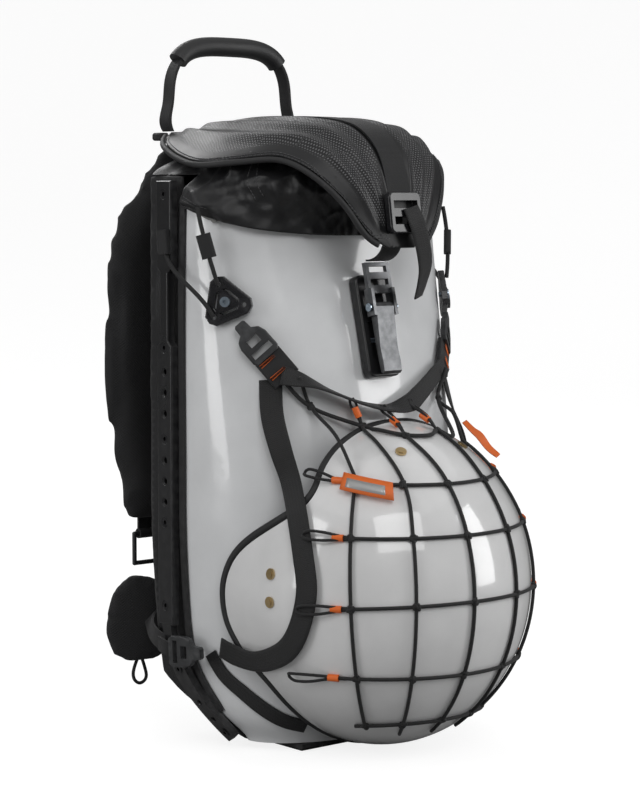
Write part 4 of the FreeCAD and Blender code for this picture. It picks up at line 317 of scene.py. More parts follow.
def add_piece(name, mesh, material, body="pack", replaces=()):
    """Links a finished mesh, gives it its finish, rides it on a body, and hides the nodes it stands for."""
    obj = bpy.data.objects.new(name, mesh)
    bpy.context.scene.collection.objects.link(obj)
    if material:
        mesh.materials.clear()
        mesh.materials.append(FINISH[material])
    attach(obj, body)
    if replaces:
        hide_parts(*replaces)
    return obj


def mesh_of(bm, name, smooth=True):
    mesh = bpy.data.meshes.new(name)
    bm.to_mesh(mesh)
    bm.free()
    if smooth:
        mesh.shade_smooth()
    return mesh


def merged(node):
    """A node's mesh with its loose triangles joined."""
    bm = bmesh.new()
    bm.from_mesh(NODES[node].data)
    bmesh.ops.remove_doubles(bm, verts=bm.verts, dist=0.00002)
    return bm


def refine(bm, longest):
    """Splits edges until none is longer than a length."""
    for _ in range(9):
        long = [edge for edge in bm.edges if edge.calc_length() > longest]
        if not long:
            break
        bmesh.ops.subdivide_edges(bm, edges=long, cuts=1)
        bmesh.ops.triangulate(bm, faces=[face for face in bm.faces if len(face.verts) > 3])


def run_smooth(points, steps):
    """A Catmull-Rom line through points, with steps to each run."""
    ends = [points[0] * 2 - points[1]] + list(points) + [points[-1] * 2 - points[-2]]
    line = []
    for i in range(len(points) - 1):
        a, b, c, d = ends[i:i + 4]
        for k in range(steps):
            t = k / steps
            line.append(0.5 * (2 * b + (c - a) * t + (2 * a - 5 * b + 4 * c - d) * t**2 + (3 * b - a - 3 * c + d) * t**3))
    return line + [points[-1].copy()]


def loft(name, sections, close_run=False):
    """Skins equal closed sections; the map runs in metres along and round."""
    bm = bmesh.new()
    layer = bm.loops.layers.uv.new("UVMap")
    rows = [[bm.verts.new(point) for point in section] for section in sections]
    count = len(rows[0])
    travel = [0.0]
    for a, b in zip(sections, sections[1:]):
        travel.append(travel[-1] + (b[0] - a[0]).length)
    girth = [0.0]
    first = sections[0]
    for k in range(count):
        girth.append(girth[-1] + (first[(k + 1) % count] - first[k]).length)
    last = len(rows) if close_run else len(rows) - 1
    for i in range(last):
        j = (i + 1) % len(rows)
        start = travel[i]
        end = travel[i + 1] if i + 1 < len(travel) else start + travel[1]
        for k in range(count):
            n = (k + 1) % count
            face = bm.faces.new((rows[i][k], rows[i][n], rows[j][n], rows[j][k]))
            low, high = girth[k], girth[k + 1]
            for loop, spot in zip(face.loops, ((start, low), (start, high), (end, high), (end, low))):
                loop[layer].uv = spot
    if not close_run:
        bm.faces.new(rows[0])
        bm.faces.new(list(reversed(rows[-1])))
    bmesh.ops.recalc_face_normals(bm, faces=bm.faces)
    return mesh_of(bm, name)


def strap_mesh(name, points, normals, width, thick, steps=6):
    """A flat strap along points, its face towards the normals, with rolled edges."""
    line = run_smooth(points, steps)
    faces = run_smooth(normals, steps)
    half = width / 2
    outline = [(-1, 0), (-0.94, 0.5), (-0.6, 0.5), (0, 0.56), (0.6, 0.5), (0.94, 0.5), (1, 0)]
    outline += [(0.94, -0.5), (0, -0.5), (-0.94, -0.5)]
    sections = []
    for i, middle in enumerate(line):
        along = (line[min(i + 1, len(line) - 1)] - line[max(i - 1, 0)]).normalized()
        out = faces[i].normalized()
        side = along.cross(out).normalized()
        out = side.cross(along).normalized()
        sections.append([middle + side * (half * a) + out * (thick * (b + 0.5)) for a, b in outline])
    return loft(name, sections)


def tube_mesh(name, line, radius, sides=8, close_run=False):
    """A round cord along a line of points, twist kept small."""
    sections = []
    up = None
    count = len(line)
    for i, middle in enumerate(line):
        ahead = line[(i + 1) % count] if close_run else line[min(i + 1, count - 1)]
        back = line[i - 1] if close_run or i else line[0]
        along = (ahead - back).normalized()
        if up is None:
            up = along.orthogonal().normalized()
        up = (up - along * up.dot(along)).normalized()
        side = along.cross(up)
        turns = [2 * math.pi * k / sides for k in range(sides)]
        sections.append([middle + (up * math.cos(a) + side * math.sin(a)) * radius for a in turns])
    return loft(name, sections, close_run=close_run)


def join_meshes(name, meshes):
    """One mesh from several; the parts are thrown away."""
    bm = bmesh.new()
    for mesh in meshes:
        bm.from_mesh(mesh)
        bpy.data.meshes.remove(mesh)
    return mesh_of(bm, name)


# ---------------------------------------------------------------- stitches


def make_stitch_tree():
    """Short threads laid end to end along curves."""
    tree = bpy.data.node_groups.new("thread_stitches", "GeometryNodeTree")
    face = tree.interface
    face.new_socket(name="Geometry", in_out="INPUT", socket_type="NodeSocketGeometry")
    for label, value in (("Pitch", 0.003), ("Length", 0.0022), ("Thickness", 0.0007)):
        face.new_socket(name=label, in_out="INPUT", socket_type="NodeSocketFloat").default_value = value
    face.new_socket(name="Thread", in_out="INPUT", socket_type="NodeSocketMaterial")
    face.new_socket(name="Geometry", in_out="OUTPUT", socket_type="NodeSocketGeometry")
    wires = Wiring(tree)
    given = wires.node("NodeGroupInput").outputs
    points = wires.node("GeometryNodeCurveToPoints", mode="LENGTH")
    wires.feed(points.inputs["Curve"], given["Geometry"])
    wires.feed(points.inputs["Length"], given["Pitch"])
    turn = wires.node("FunctionNodeAlignRotationToVector", axis="Z")
    wires.feed(turn.inputs["Vector"], points.outputs["Tangent"])
    thread = wires.node("GeometryNodeMeshCylinder")
    thread.inputs["Vertices"].default_value = 6
    wires.feed(thread.inputs["Depth"], given["Length"])
    wires.feed(thread.inputs["Radius"], wires.math("MULTIPLY", given["Thickness"], 0.5))
    laid = wires.node("GeometryNodeInstanceOnPoints")
    wires.feed(laid.inputs["Points"], points.outputs["Points"])
    wires.feed(laid.inputs["Instance"], thread.outputs["Mesh"])
    wires.feed(laid.inputs["Rotation"], turn.outputs["Rotation"])
    real = wires.node("GeometryNodeRealizeInstances")
    wires.feed(real.inputs[0], laid.outputs[0])
    painted = wires.node("GeometryNodeSetMaterial")
    wires.feed(painted.inputs["Geometry"], real.outputs[0])
    wires.feed(painted.inputs["Material"], given["Thread"])
    wires.feed(wires.node("NodeGroupOutput").inputs["Geometry"], painted.outputs[0])
    return tree


STITCHES = make_stitch_tree()


def stitch(name, lines, body="pack", thread="seam_thread", pitch=3.2, length=2.4, thick=0.7):
    """Stitches along lines of points, as one plain mesh."""
    curve = bpy.data.curves.new(name, "CURVE")
    curve.dimensions = "3D"
    for line in lines:
        spline = curve.splines.new("POLY")
        spline.points.add(len(line) - 1)
        for spot, point in zip(spline.points, line):
            spot.co = (*point, 1)
    holder = bpy.data.objects.new(name + "_path", curve)
    bpy.context.scene.collection.objects.link(holder)
    modifier = holder.modifiers.new("Stitches", "NODES")
    modifier.node_group = STITCHES
    values = {"Pitch": pitch * MM, "Length": length * MM, "Thickness": thick * MM, "Thread": FINISH[thread]}
    for item in STITCHES.interface.items_tree:
        if item.in_out == "INPUT" and item.name in values:
            modifier[item.identifier] = values[item.name]
    bpy.context.view_layer.update()
    ready = holder.evaluated_get(bpy.context.evaluated_depsgraph_get())
    mesh = bpy.data.meshes.new_from_object(ready)
    bpy.data.objects.remove(holder)
    mesh.name = name
    mesh.shade_smooth()
    return add_piece(name, mesh, thread, body)


def surface_of(*objects):
    """A search tree of pieces' faces."""
    corners, faces = [], []
    for obj in objects:
        first = len(corners)
        corners += [vertex.co.copy() for vertex in obj.data.vertices]
        faces += [[first + i for i in face.vertices] for face in obj.data.polygons]
    return BVHTree.FromPolygons(corners, faces)


def laid(tree, point, out):
    """The nearest place on a surface, moved out from it in millimetres, and the outward normal."""
    place, normal, _, _ = tree.find_nearest(point)
    return place + normal * out * MM, normal


def free_strap(name, places, faces, width, thick):
    """A strap through places in millimetres, its face towards each of the directions given."""
    normals = [Vector(face) for face in faces]
    return strap_mesh(name, [mm(*place) for place in places], normals, width * MM, thick * MM, 7)


def laid_strap(tree, points, width, thick, out=0.2, steps=6):
    """A strap that lies on a surface along rough points."""
    found = [laid(tree, point, out) for point in points]
    return strap_mesh("laid", [place for place, _ in found], [normal for _, normal in found], width * MM, thick * MM, steps)


# ---------------------------------------------------------------- camera, light and stage

VIEW_AZIMUTH, VIEW_ELEVATION = math.radians(-40), math.radians(5)
LOOK_AT = Vector((0, -0.024, 0.287))
CAMERA_DISTANCE = 2.0
FOCAL_PIXELS, FRAME_PIXELS, SENSOR_MM = 2330, 800, 36


def add_camera():
    data = bpy.data.cameras.new("camera")
    data.sensor_width = SENSOR_MM
    data.lens = FOCAL_PIXELS / FRAME_PIXELS * SENSOR_MM
    camera = bpy.data.objects.new("camera", data)
    flat = math.cos(VIEW_ELEVATION)
    back = Vector((math.sin(VIEW_AZIMUTH) * flat, -math.cos(VIEW_AZIMUTH) * flat, math.sin(VIEW_ELEVATION)))
    camera.location = LOOK_AT + back * CAMERA_DISTANCE
    camera.rotation_euler = (-back).to_track_quat("-Z", "Y").to_euler()
    bpy.context.scene.collection.objects.link(camera)
    bpy.context.scene.camera = camera


def add_light(name, place, size, power, tint=(1, 1, 1)):
    data = bpy.data.lights.new(name, "AREA")
    data.shape = "RECTANGLE"
    data.size, data.size_y = size
    data.energy = power
    data.color = tint
    lamp = bpy.data.objects.new(name, data)
    lamp.location = place
    lamp.rotation_euler = (Vector(place) - LOOK_AT).to_track_quat("Z", "Y").to_euler()
    bpy.context.scene.collection.objects.link(lamp)


def add_stage():
    """Pale floor that rises into a round wall."""
    material = bpy.data.materials.new("studio_white")
    material.use_nodes = True
    shader = material.node_tree.nodes["Principled BSDF"]
    shader.inputs["Base Color"].default_value = (0.30, 0.30, 0.30, 1)
    shader.inputs["Roughness"].default_value = 1.0
    shader.inputs["Specular IOR Level"].default_value = 0.0
    shader.inputs["Emission Color"].default_value = (1, 1, 1, 1)
    seen = material.node_tree.nodes.new("ShaderNodeLightPath").outputs["Is Camera Ray"]
    wires = Wiring(material.node_tree)
    wires.feed(shader.inputs["Emission Strength"], wires.math("MULTIPLY", seen, 0.84))
    flat, bend, wall, turns = 3.2, 1.8, 5.0, 72
    profile = [(flat, 0.0)]
    for k in range(1, 11):
        a = math.radians(9 * k)
        profile.append((flat + bend * math.sin(a), bend * (1 - math.cos(a))))
    profile.append((flat + bend, wall))
    bm = bmesh.new()
    centre = bm.verts.new((0, 0, 0))
    ways = [2 * math.pi * k / turns for k in range(turns)]
    rings = [[bm.verts.new((reach * math.cos(a), reach * math.sin(a), z)) for a in ways] for reach, z in profile]
    for k in range(turns):
        n = (k + 1) % turns
        bm.faces.new((centre, rings[0][k], rings[0][n]))
        for low, high in zip(rings, rings[1:]):
            bm.faces.new((low[k], high[k], high[n], low[n]))
    obj = bpy.data.objects.new("studio_floor", mesh_of(bm, "studio_floor"))
    obj.data.materials.append(material)
    bpy.context.scene.collection.objects.link(obj)


def add_world():
    world = bpy.data.worlds.new("studio_world")
    world.use_nodes = True
    world.node_tree.nodes["Background"].inputs[0].default_value = (1, 1, 1, 1)
    world.node_tree.nodes["Background"].inputs[1].default_value = 0.60
    bpy.context.scene.world = world
    bpy.context.scene.view_settings.view_transform = "Standard"


add_camera()
add_world()
add_stage()
add_light("key", (-1.2, -2.7, 2.3), (2.2, 1.6), 34)
add_light("front", (2.0, -2.2, 1.0), (1.0, 2.2), 34)
add_light("side", (-2.7, 0.4, 0.9), (0.9, 2.4), 26)
add_light("rear", (0.4, 2.6, 2.3), (2.0, 0.8), 34)

# ---------------------------------------------------------------- lid

LID_PROFILE = [(89, 518), (74, 522), (56, 524.8), (25, 527), (-15, 527), (-55, 524), (-86, 517), (-109, 499)]
LID_PROFILE += [(-121, 473), (-127, 443), (-128, 419)]


def profile_travel(y, z):
    """How far along the lid's middle line, in metres, the nearest place to a point is."""
    best, gone, found = 1e9, 0.0, 0.0
    for a, b in zip(LID_PROFILE, LID_PROFILE[1:]):
        start, run = Vector(a) * MM, (Vector(b) - Vector(a)) * MM
        away = Vector((y, z)) - start
        share = min(max(away.dot(run) / run.length_squared, 0), 1)
        miss = (away - run * share).length
        if miss < best:
            best, found = miss, gone + run.length * share
        gone += run.length
    return found


def make_lid():
    """Ridged foam lid under open mesh: plain along its edge and under the centre strap."""
    bm = merged("lid_panel")
    refine(bm, 3.2 * MM)
    edge = KDTree(len(NODES["lid_binding"].data.vertices))
    for i, vertex in enumerate(NODES["lid_binding"].data.vertices):
        edge.insert(vertex.co, i)
    edge.balance()
    layer = bm.loops.layers.uv.new("UVMap")
    open_mesh = bm.verts.layers.float.new("open_mesh")
    travel = {}
    for vertex in bm.verts:
        gap = edge.find(vertex.co)[2]
        plain = max(min((abs(vertex.co.x) - 17 * MM) / (2 * MM), 1), 0)
        vertex[open_mesh] = max(min((gap - 13 * MM) / (3 * MM), 1), 0) * plain
        travel[vertex] = profile_travel(vertex.co.y, vertex.co.z)
    for face in bm.faces:
        for loop in face.loops:
            loop[layer].uv = (loop.vert.co.x * 1.06, travel[loop.vert])
    mesh = mesh_of(bm, "lid_foam")
    return add_piece("lid_foam_panel", mesh, "lid_foam", "lid", replaces=("lid_panel",))


make_lid()

# ---------------------------------------------------------------- collar and bag cloth


COLLAR_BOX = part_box("collar")


def swirl(x, y, z, seed):
    return noise.noise(Vector((x, y, z + seed * 17.3)))


def collar_fold(point):
    """Outward move of the collar's cloth: soft drape folds, tight gathers under the lid and along its hem."""
    angle = math.atan2(point.x, -(point.y + 0.02))
    low, high = COLLAR_BOX
    rise = (point.z - low.z) / (high.z - low.z)
    drape = swirl(angle * 2.8 + rise * 1.8, rise * 2.2, 0, 1) * 9.0
    drape += swirl(angle * 8 + rise * 5, rise * 4 + angle * 3, 0, 2) * 5.0
    crease = 1 - abs(swirl(angle * 4 - rise * 3, rise * 3 + angle, 0, 7)) * 2
    drape += 3.0 * max(crease, 0) ** 3 - 1.0
    pleats = math.sin(angle * 40 + 3 * swirl(angle * 3, rise * 2, 0, 3)) * (0.5 + 2.6 * max(rise - 0.45, 0))
    hem = math.sin(angle * 30 + 5 * swirl(angle * 5, 0, 0, 4)) * max(0.25 - rise, 0) * 3
    return (drape * (0.35 + 0.65 * min(rise * 2, 1)) + pleats + hem) * MM



def soft_copy(node, name, material, longest, fold, body="pack"):
    """A cloth piece with a node's own walls, moved outwards from the pack's middle line by a fold rule."""
    bm = merged(node)
    refine(bm, longest * MM)
    for vertex in bm.verts:
        out = Vector((vertex.co.x, vertex.co.y + 0.02, 0)).normalized()
        vertex.co += out * fold(vertex.co)
    bmesh.ops.smooth_vert(bm, verts=bm.verts, factor=0.3, use_axis_x=True, use_axis_y=True, use_axis_z=True)
    return add_piece(name, mesh_of(bm, name), material, body, replaces=(node,))


def bag_fold(point):
    """Outward move of the bag's cloth behind the rails: slack folds between the shell and the frame sheet."""
    behind = min(max((point.y - 21 * MM) / (8 * MM), 0), 1) * min(max((46 * MM - point.y) / (6 * MM), 0), 1)
    slack = swirl(point.y * 30, point.z * 26, 0, 5) * 3.2 + swirl(point.y * 60, point.z * 70, 0, 6) * 1.4
    return (slack - 1.0) * behind * MM


collar = soft_copy("collar", "collar_cloth", "softshell", 3.2, collar_fold)
bag = soft_copy("bag_body", "bag_cloth", "black_fabric", 7.0, bag_fold)

# ---------------------------------------------------------------- foam pads

PAD_INSET, PAD_CAP, PAD_VOXEL = 1.6 * MM, 6 * MM, 5 * MM
CLOTH_FRAMES = 20


def remeshed(node, voxel=PAD_VOXEL):
    """A node's outer shape as even small faces, drawn in a little."""
    bm = merged(node)
    holder = bpy.data.objects.new(node + "_foam", mesh_of(bm, node + "_foam"))
    bpy.context.scene.collection.objects.link(holder)
    remesh = holder.modifiers.new("Remesh", "REMESH")
    remesh.mode = "VOXEL"
    remesh.voxel_size = voxel
    bpy.context.view_layer.update()
    mesh = bpy.data.meshes.new_from_object(holder.evaluated_get(bpy.context.evaluated_depsgraph_get()))
    bpy.data.objects.remove(holder)
    bm = bmesh.new()
    bm.from_mesh(mesh)
    for _ in range(2):
        bmesh.ops.smooth_vert(bm, verts=bm.verts, factor=0.5, use_axis_x=True, use_axis_y=True, use_axis_z=True)
    bm.normal_update()
    for vertex in bm.verts:
        vertex.co -= vertex.normal * PAD_INSET
    bm.to_mesh(mesh)
    bm.free()
    return mesh


def blown_up(meshes):
    """Lets the pads' covers fill out together under pressure; each vertex moves at most the cap."""
    holders = []
    for mesh in meshes:
        holder = bpy.data.objects.new(mesh.name + "_cover", mesh)
        bpy.context.scene.collection.objects.link(holder)
        cover = holder.modifiers.new("Cloth", "CLOTH")
        cover.settings.quality = 6
        cover.settings.mass = 0.25
        cover.settings.tension_stiffness = 18
        cover.settings.compression_stiffness = 18
        cover.settings.bending_stiffness = 0.8
        cover.settings.use_pressure = True
        cover.settings.uniform_pressure_force = 4.0
        cover.settings.effector_weights.gravity = 0
        cover.point_cache.frame_end = CLOTH_FRAMES
        holders.append(holder)
    for number in range(1, CLOTH_FRAMES + 1):
        bpy.context.scene.frame_set(number)
    graph = bpy.context.evaluated_depsgraph_get()
    finished = []
    for holder, mesh in zip(holders, meshes):
        swollen = bpy.data.meshes.new_from_object(holder.evaluated_get(graph))
        for before, after in zip(mesh.vertices, swollen.vertices):
            move = after.co - before.co
            if move.length > PAD_CAP:
                after.co = before.co + move.normalized() * PAD_CAP
        bpy.data.objects.remove(holder)
        finished.append(swollen)
    bpy.context.scene.frame_set(1)
    return finished


def quilted(mesh, depth):
    """Presses seams into a cover: depth(point, normal) gives how far in, in metres."""
    bm = bmesh.new()
    bm.from_mesh(mesh)
    bmesh.ops.subdivide_edges(bm, edges=bm.edges, cuts=1, use_grid_fill=True, smooth=0.6)
    bm.normal_update()
    moves = [(vertex, vertex.normal * depth(vertex.co, vertex.normal)) for vertex in bm.verts]
    for vertex, move in moves:
        vertex.co -= move
    return mesh_of(bm, mesh.name)


def valley(away, width, deep):
    """Depth of a sewn seam at a distance from its line, in metres."""
    return deep * MM * math.exp(-((away / (width * MM)) ** 2))


BACK_CUSHIONS = 7


def back_seams(point, normal):
    """Rows of cushions each side of the air channel."""
    if normal.y < 0.2:
        return 0.0
    low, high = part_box("back_pad")
    pitch = (high.z - low.z) / BACK_CUSHIONS
    place = (point.z - low.z) / pitch
    away = abs(place - round(place)) * pitch
    slant = abs(abs(point.x) - 56 * MM)
    return valley(away, 3.2, 4.5) + valley(slant, 2.6, 2.2)


def lumbar_seams(point, normal):
    low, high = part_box("lumbar_pad")
    if normal.y < 0.2:
        return 0.0
    middle = (low.z + high.z) / 2
    return valley(abs(point.x), 3.5, 4.0) + valley(abs(point.z - middle - point.x**2 * 3), 3.0, 2.4)


def wing_seams(point, normal):
    low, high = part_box("hip_wing_left")
    middle = (low.z + high.z) / 2
    broad = min(max((abs(normal.x) - 0.45) / 0.3, 0), 1)
    return valley(abs(point.z - middle), 2.4, 1.2) * broad


def strap_seams(point, normal):
    """A line inside each edge of a shoulder strap."""
    away = abs(abs(abs(point.x) - strap_middle(point.z)) - 20 * MM)
    return valley(away, 2.0, 1.6)


STRAP_LINE = [(502, 44), (478, 55), (440, 72), (390, 83), (330, 87), (270, 86), (215, 82), (178, 78)]


def strap_middle(z):
    """Distance of a shoulder strap's middle from the pack's middle plane at a height."""
    for (za, xa), (zb, xb) in zip(STRAP_LINE, STRAP_LINE[1:]):
        if z >= zb * MM:
            share = min(max((za * MM - z) / ((za - zb) * MM), 0), 1)
            return (xa + (xb - xa) * share) * MM
    return STRAP_LINE[-1][1] * MM


def widened_strap(mesh):
    """A shoulder strap's cover drawn out and back beyond its middle line, as the padding flares."""
    bm = bmesh.new()
    bm.from_mesh(mesh)
    for _ in range(10):
        bmesh.ops.smooth_vert(bm, verts=bm.verts, factor=0.5, use_axis_x=True, use_axis_y=True, use_axis_z=True)
    for vertex in bm.verts:
        beyond = max(abs(vertex.co.x) - strap_middle(vertex.co.z), 0)
        vertex.co.x -= beyond * 0.85
        vertex.co.y += beyond * 0.30
    return mesh_of(bm, mesh.name)


def flipped(mesh, name):
    """The same mesh on the other side of the pack."""
    bm = bmesh.new()
    bm.from_mesh(mesh)
    for vertex in bm.verts:
        vertex.co.x = -vertex.co.x
    bmesh.ops.reverse_faces(bm, faces=bm.faces)
    return mesh_of(bm, name)


def make_pads():
    names = ["back_pad", "lumbar_pad", "shoulder_strap_left", "hip_wing_left"]
    seams = [back_seams, lumbar_seams, strap_seams, wing_seams]
    covers = blown_up([remeshed(name) for name in names])
    ready = [quilted(mesh, seam) for mesh, seam in zip(covers, seams)]
    strap, wing = widened_strap(ready[2]), ready[3]
    plan = [
        ("back_pad_cover", ready[0], "pack", "back_pad", 0.7),
        ("lumbar_pad_cover", ready[1], "pack", "lumbar_pad", 0.8),
        ("shoulder_strap_cover_left", strap, "pack", "shoulder_strap_left", 0.6),
        ("shoulder_strap_cover_right", flipped(strap, "strap_right"), "pack", "shoulder_strap_right", 0.6),
        ("hip_wing_cover_left", wing, "wing_left", "hip_wing_left", 0.6),
        ("hip_wing_cover_right", flipped(wing, "wing_right"), "wing_right", "hip_wing_right", 0.6),
    ]
    for name, mesh, body, node, fill in plan:
        add_piece(name, mesh, "pad_mesh", body, replaces=(node,))


make_pads()

# ---------------------------------------------------------------- net over the helmet

HELMET_LOW, HELMET_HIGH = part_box("helmet_shell")
HELMET_AXES = Vector((HELMET_HIGH.x, 0.126, (HELMET_HIGH.z - HELMET_LOW.z) / 2 + 0.001))
HELMET_CENTRE = Vector((0, HELMET_LOW.y + HELMET_AXES.y, 0.141))
CORD = 1.55 * MM
COLUMNS = [
    [(44, -54), (22, -53), (-50, -50)],
    [(73, -66), (62, -45), (44, -31), (22, -29), (-56, -29)],
    [(66, -19), (55, -12), (44, -8), (22, -6), (-56, -6)],
    [(67, 27), (55, 22), (44, 19), (22, 18), (-56, 18)],
    [(58, 50), (44, 43), (22, 42), (-50, 41)],
]
ROWS = [(44, 80, -3), (22, 70, 0), (-2, 70, 2), (-26, 78, 0), (-50, 56, 2)]
CROWN_KNOTS = [(-66, 73), (-19, 66), (27, 67), (50, 58)]
LOOP_ENDS = [(-38, -112, 291), (-12, -121.5, 285), (19, -121, 288)]


def on_helmet(lon, lat, out):
    """A point out from the helmet at a longitude and latitude, and the outward normal."""
    lo, la = math.radians(lon), math.radians(lat)
    unit = Vector((math.cos(la) * math.sin(lo), -math.cos(la) * math.cos(lo), math.sin(la)))
    point = HELMET_CENTRE + Vector([unit[i] * HELMET_AXES[i] for i in range(3)])
    normal = Vector([unit[i] / HELMET_AXES[i] for i in range(3)]).normalized()
    return point + normal * out, normal


def through(stations, at):
    """Smooth value at a place through (place, value) stations."""
    stations = sorted(stations)
    at = min(max(at, stations[0][0]), stations[-1][0])
    for i in range(len(stations) - 1):
        (a, u), (b, v) = stations[i], stations[i + 1]
        if at <= b:
            t = (at - a) / (b - a)
            before = stations[max(i - 1, 0)]
            after = stations[min(i + 2, len(stations) - 1)]
            m = (v - before[1]) / max(b - before[0], 1) * (b - a)
            n = (after[1] - u) / max(after[0] - a, 1) * (b - a)
            return (2 * t**3 - 3 * t**2 + 1) * u + (t**3 - 2 * t**2 + t) * m + (3 * t**2 - 2 * t**3) * v + (t**3 - t**2) * n
    return stations[-1][1]


def column_lon(column, lat):
    return through([(a, b) for a, b in column], lat)


def row_lat(row, lon):
    lat, reach, sag = row
    return lat + sag * (1 - (lon / reach) ** 2)


def make_knot(middle, normal, turn):
    """A tight overhand knot: a flattened ball wound with one turn of cord."""
    up = normal
    side = up.cross(Vector((math.sin(turn), 0.2, math.cos(turn)))).normalized()
    along = side.cross(up)
    line = []
    for k in range(22):
        a = 2 * math.pi * k / 22
        line.append(middle + (side * math.cos(a) * 2.3 + along * math.sin(a) * 2.0 + up * (0.6 + 0.9 * math.sin(2 * a))) * MM)
    ring = tube_mesh("knot_ring", line, 1.45 * MM, 7, close_run=True)
    line = [middle + (along * (3.4 * s) + up * (1.5 - 0.9 * s * s) + side * (0.6 * s)) * MM for s in (-1, -0.5, 0, 0.5, 1)]
    core = tube_mesh("knot_core", run_smooth(line, 3), 1.6 * MM, 7)
    return [ring, core]


def shoulder_knot(side):
    return mm(side * 70.5, -96.5, 290)


def make_net():
    """Elastic cords, their knots, and the loops that hold the net to its webbing."""
    parts = []
    knots = []
    for row in ROWS:
        lat, reach, _ = row
        stop = 0.80 if lat > -40 else 1.0
        line = []
        for k in range(61):
            lon = reach * stop * (k / 30 - 1)
            line.append(on_helmet(lon, row_lat(row, lon), CORD + 0.3 * MM)[0])
        parts.append(tube_mesh("row", line, CORD, 8))
    for number, column in enumerate(COLUMNS):
        high, low = column[0][0], column[-1][0]
        line = []
        for k in range(61):
            lat = high + (low - high) * k / 60
            line.append(on_helmet(column_lon(column, lat), lat, CORD + 0.3 * MM)[0])
        outer = {0: LEFT, len(COLUMNS) - 1: RIGHT}.get(number)
        if outer is not None:
            knot = shoulder_knot(outer)
            lead = run_smooth([mm(outer * 81, -95, 315), knot, (knot + line[0]) * 0.5 + mm(0, -4, 5), line[0]], 8)
            line = lead[:-1] + line
            knots.append((knot, Vector((outer * 0.4, -0.8, 0.5)).normalized(), 0.4))
        parts.append(tube_mesh("column", line, CORD, 8))
        for k, row in enumerate(ROWS):
            lon = column_lon(column, row[0])
            point, normal = on_helmet(lon, row_lat(row, lon), CORD)
            knots.append((point, normal, 0.7 * k + number))
    crown = [on_helmet(lon, lat, CORD + 0.4 * MM)[0] for lon, lat in CROWN_KNOTS]
    over = [mm(-92, -85.5, 313), shoulder_knot(LEFT), crown[0], on_helmet(-42, 69, 3 * MM)[0], crown[1]]
    over += [on_helmet(4, 64.5, 2.6 * MM)[0], crown[2], on_helmet(40, 62, 2.6 * MM)[0]]
    over += [shoulder_knot(RIGHT), mm(92, -85.5, 313)]
    parts.append(tube_mesh("brow_cord", run_smooth(over, 10), CORD * 1.15, 8))
    for (lon, lat), end in zip(CROWN_KNOTS, LOOP_ENDS):
        start, normal = on_helmet(lon, lat, CORD)
        knots.append((start, normal, lon))
        finish_at = mm(*end)
        side = (finish_at - start).cross(normal).normalized()
        for way in (-1, 1):
            middle = (start + finish_at) * 0.5 + normal * 2.5 * MM + side * way * 1.3 * MM
            line = [start, middle, finish_at + side * way * 2.6 * MM, finish_at + side * way * 1.4 * MM + mm(0, 3, 5)]
            parts.append(tube_mesh("loop", run_smooth(line, 6), CORD * 0.75, 7))
    outward = [(0.70, 0, 1.9), (0.80, 0.5, 2.2), (0.90, 1.3, 5.2), (0.98, 1.4, 6.6), (1.02, 0.8, 5.4)]
    round_trip = outward + [(1.03, 0, 4.2)] + [(share, -shift, out) for share, shift, out in reversed(outward)]
    for row in ROWS[:4]:
        for side in (LEFT, RIGHT):
            line = []
            for share, shift, out in round_trip:
                lon = side * row[1] * share
                line.append(on_helmet(lon, row_lat(row, lon) + shift, out * MM)[0])
            parts.append(tube_mesh("row_loop", run_smooth(line, 5), CORD * 0.8, 7))
    for point, normal, turn in knots:
        parts += make_knot(point, normal, turn)
    return join_meshes("net_cords", parts)


add_piece("net_cords", make_net(), "cord", replaces=("net_mesh",))


def make_tag():
    """Bright tag with a silver stripe, sewn between two cords."""
    out = 5.4
    plan = [("border", -8, 8, "tag", 0.0, (-60, 24, 12)), ("stripe", -5.2, 3.4, "silver_tape", 0.7, (-57.6, 18, 10))]
    for name, low, high, material, lift, (first, spread, steps) in plan:
        bm = bmesh.new()
        columns = []
        for lon in [first + spread * k / steps for k in range(steps + 1)]:
            rail = []
            middle, normal = on_helmet(lon, 39.5 - (lon + 45) * 0.16, (out + lift) * MM)
            up = Vector((0, 0, 1)) - normal * normal.z
            up.normalize()
            for share in (low, low * 0.5 + high * 0.5, high):
                rail.append(bm.verts.new(middle + up * share * MM))
            columns.append(rail)
        for a, b in zip(columns, columns[1:]):
            for k in range(2):
                bm.faces.new((a[k], b[k], b[k + 1], a[k + 1]))
        bmesh.ops.recalc_face_normals(bm, faces=bm.faces)
        if sum((face.normal.dot(Vector((-0.6, -0.6, 0.5))) for face in bm.faces), 0.0) < 0:
            bmesh.ops.reverse_faces(bm, faces=bm.faces)
        obj = add_piece("tag_" + name, mesh_of(bm, "tag_" + name), material,
                        replaces=("reflective_tag",) if name == "border" else ())
        thick = obj.modifiers.new("Solidify", "SOLIDIFY")
        thick.thickness = 1.2 * MM if name == "border" else 0.3 * MM
        thick.offset = 0


make_tag()

# ---------------------------------------------------------------- webbing

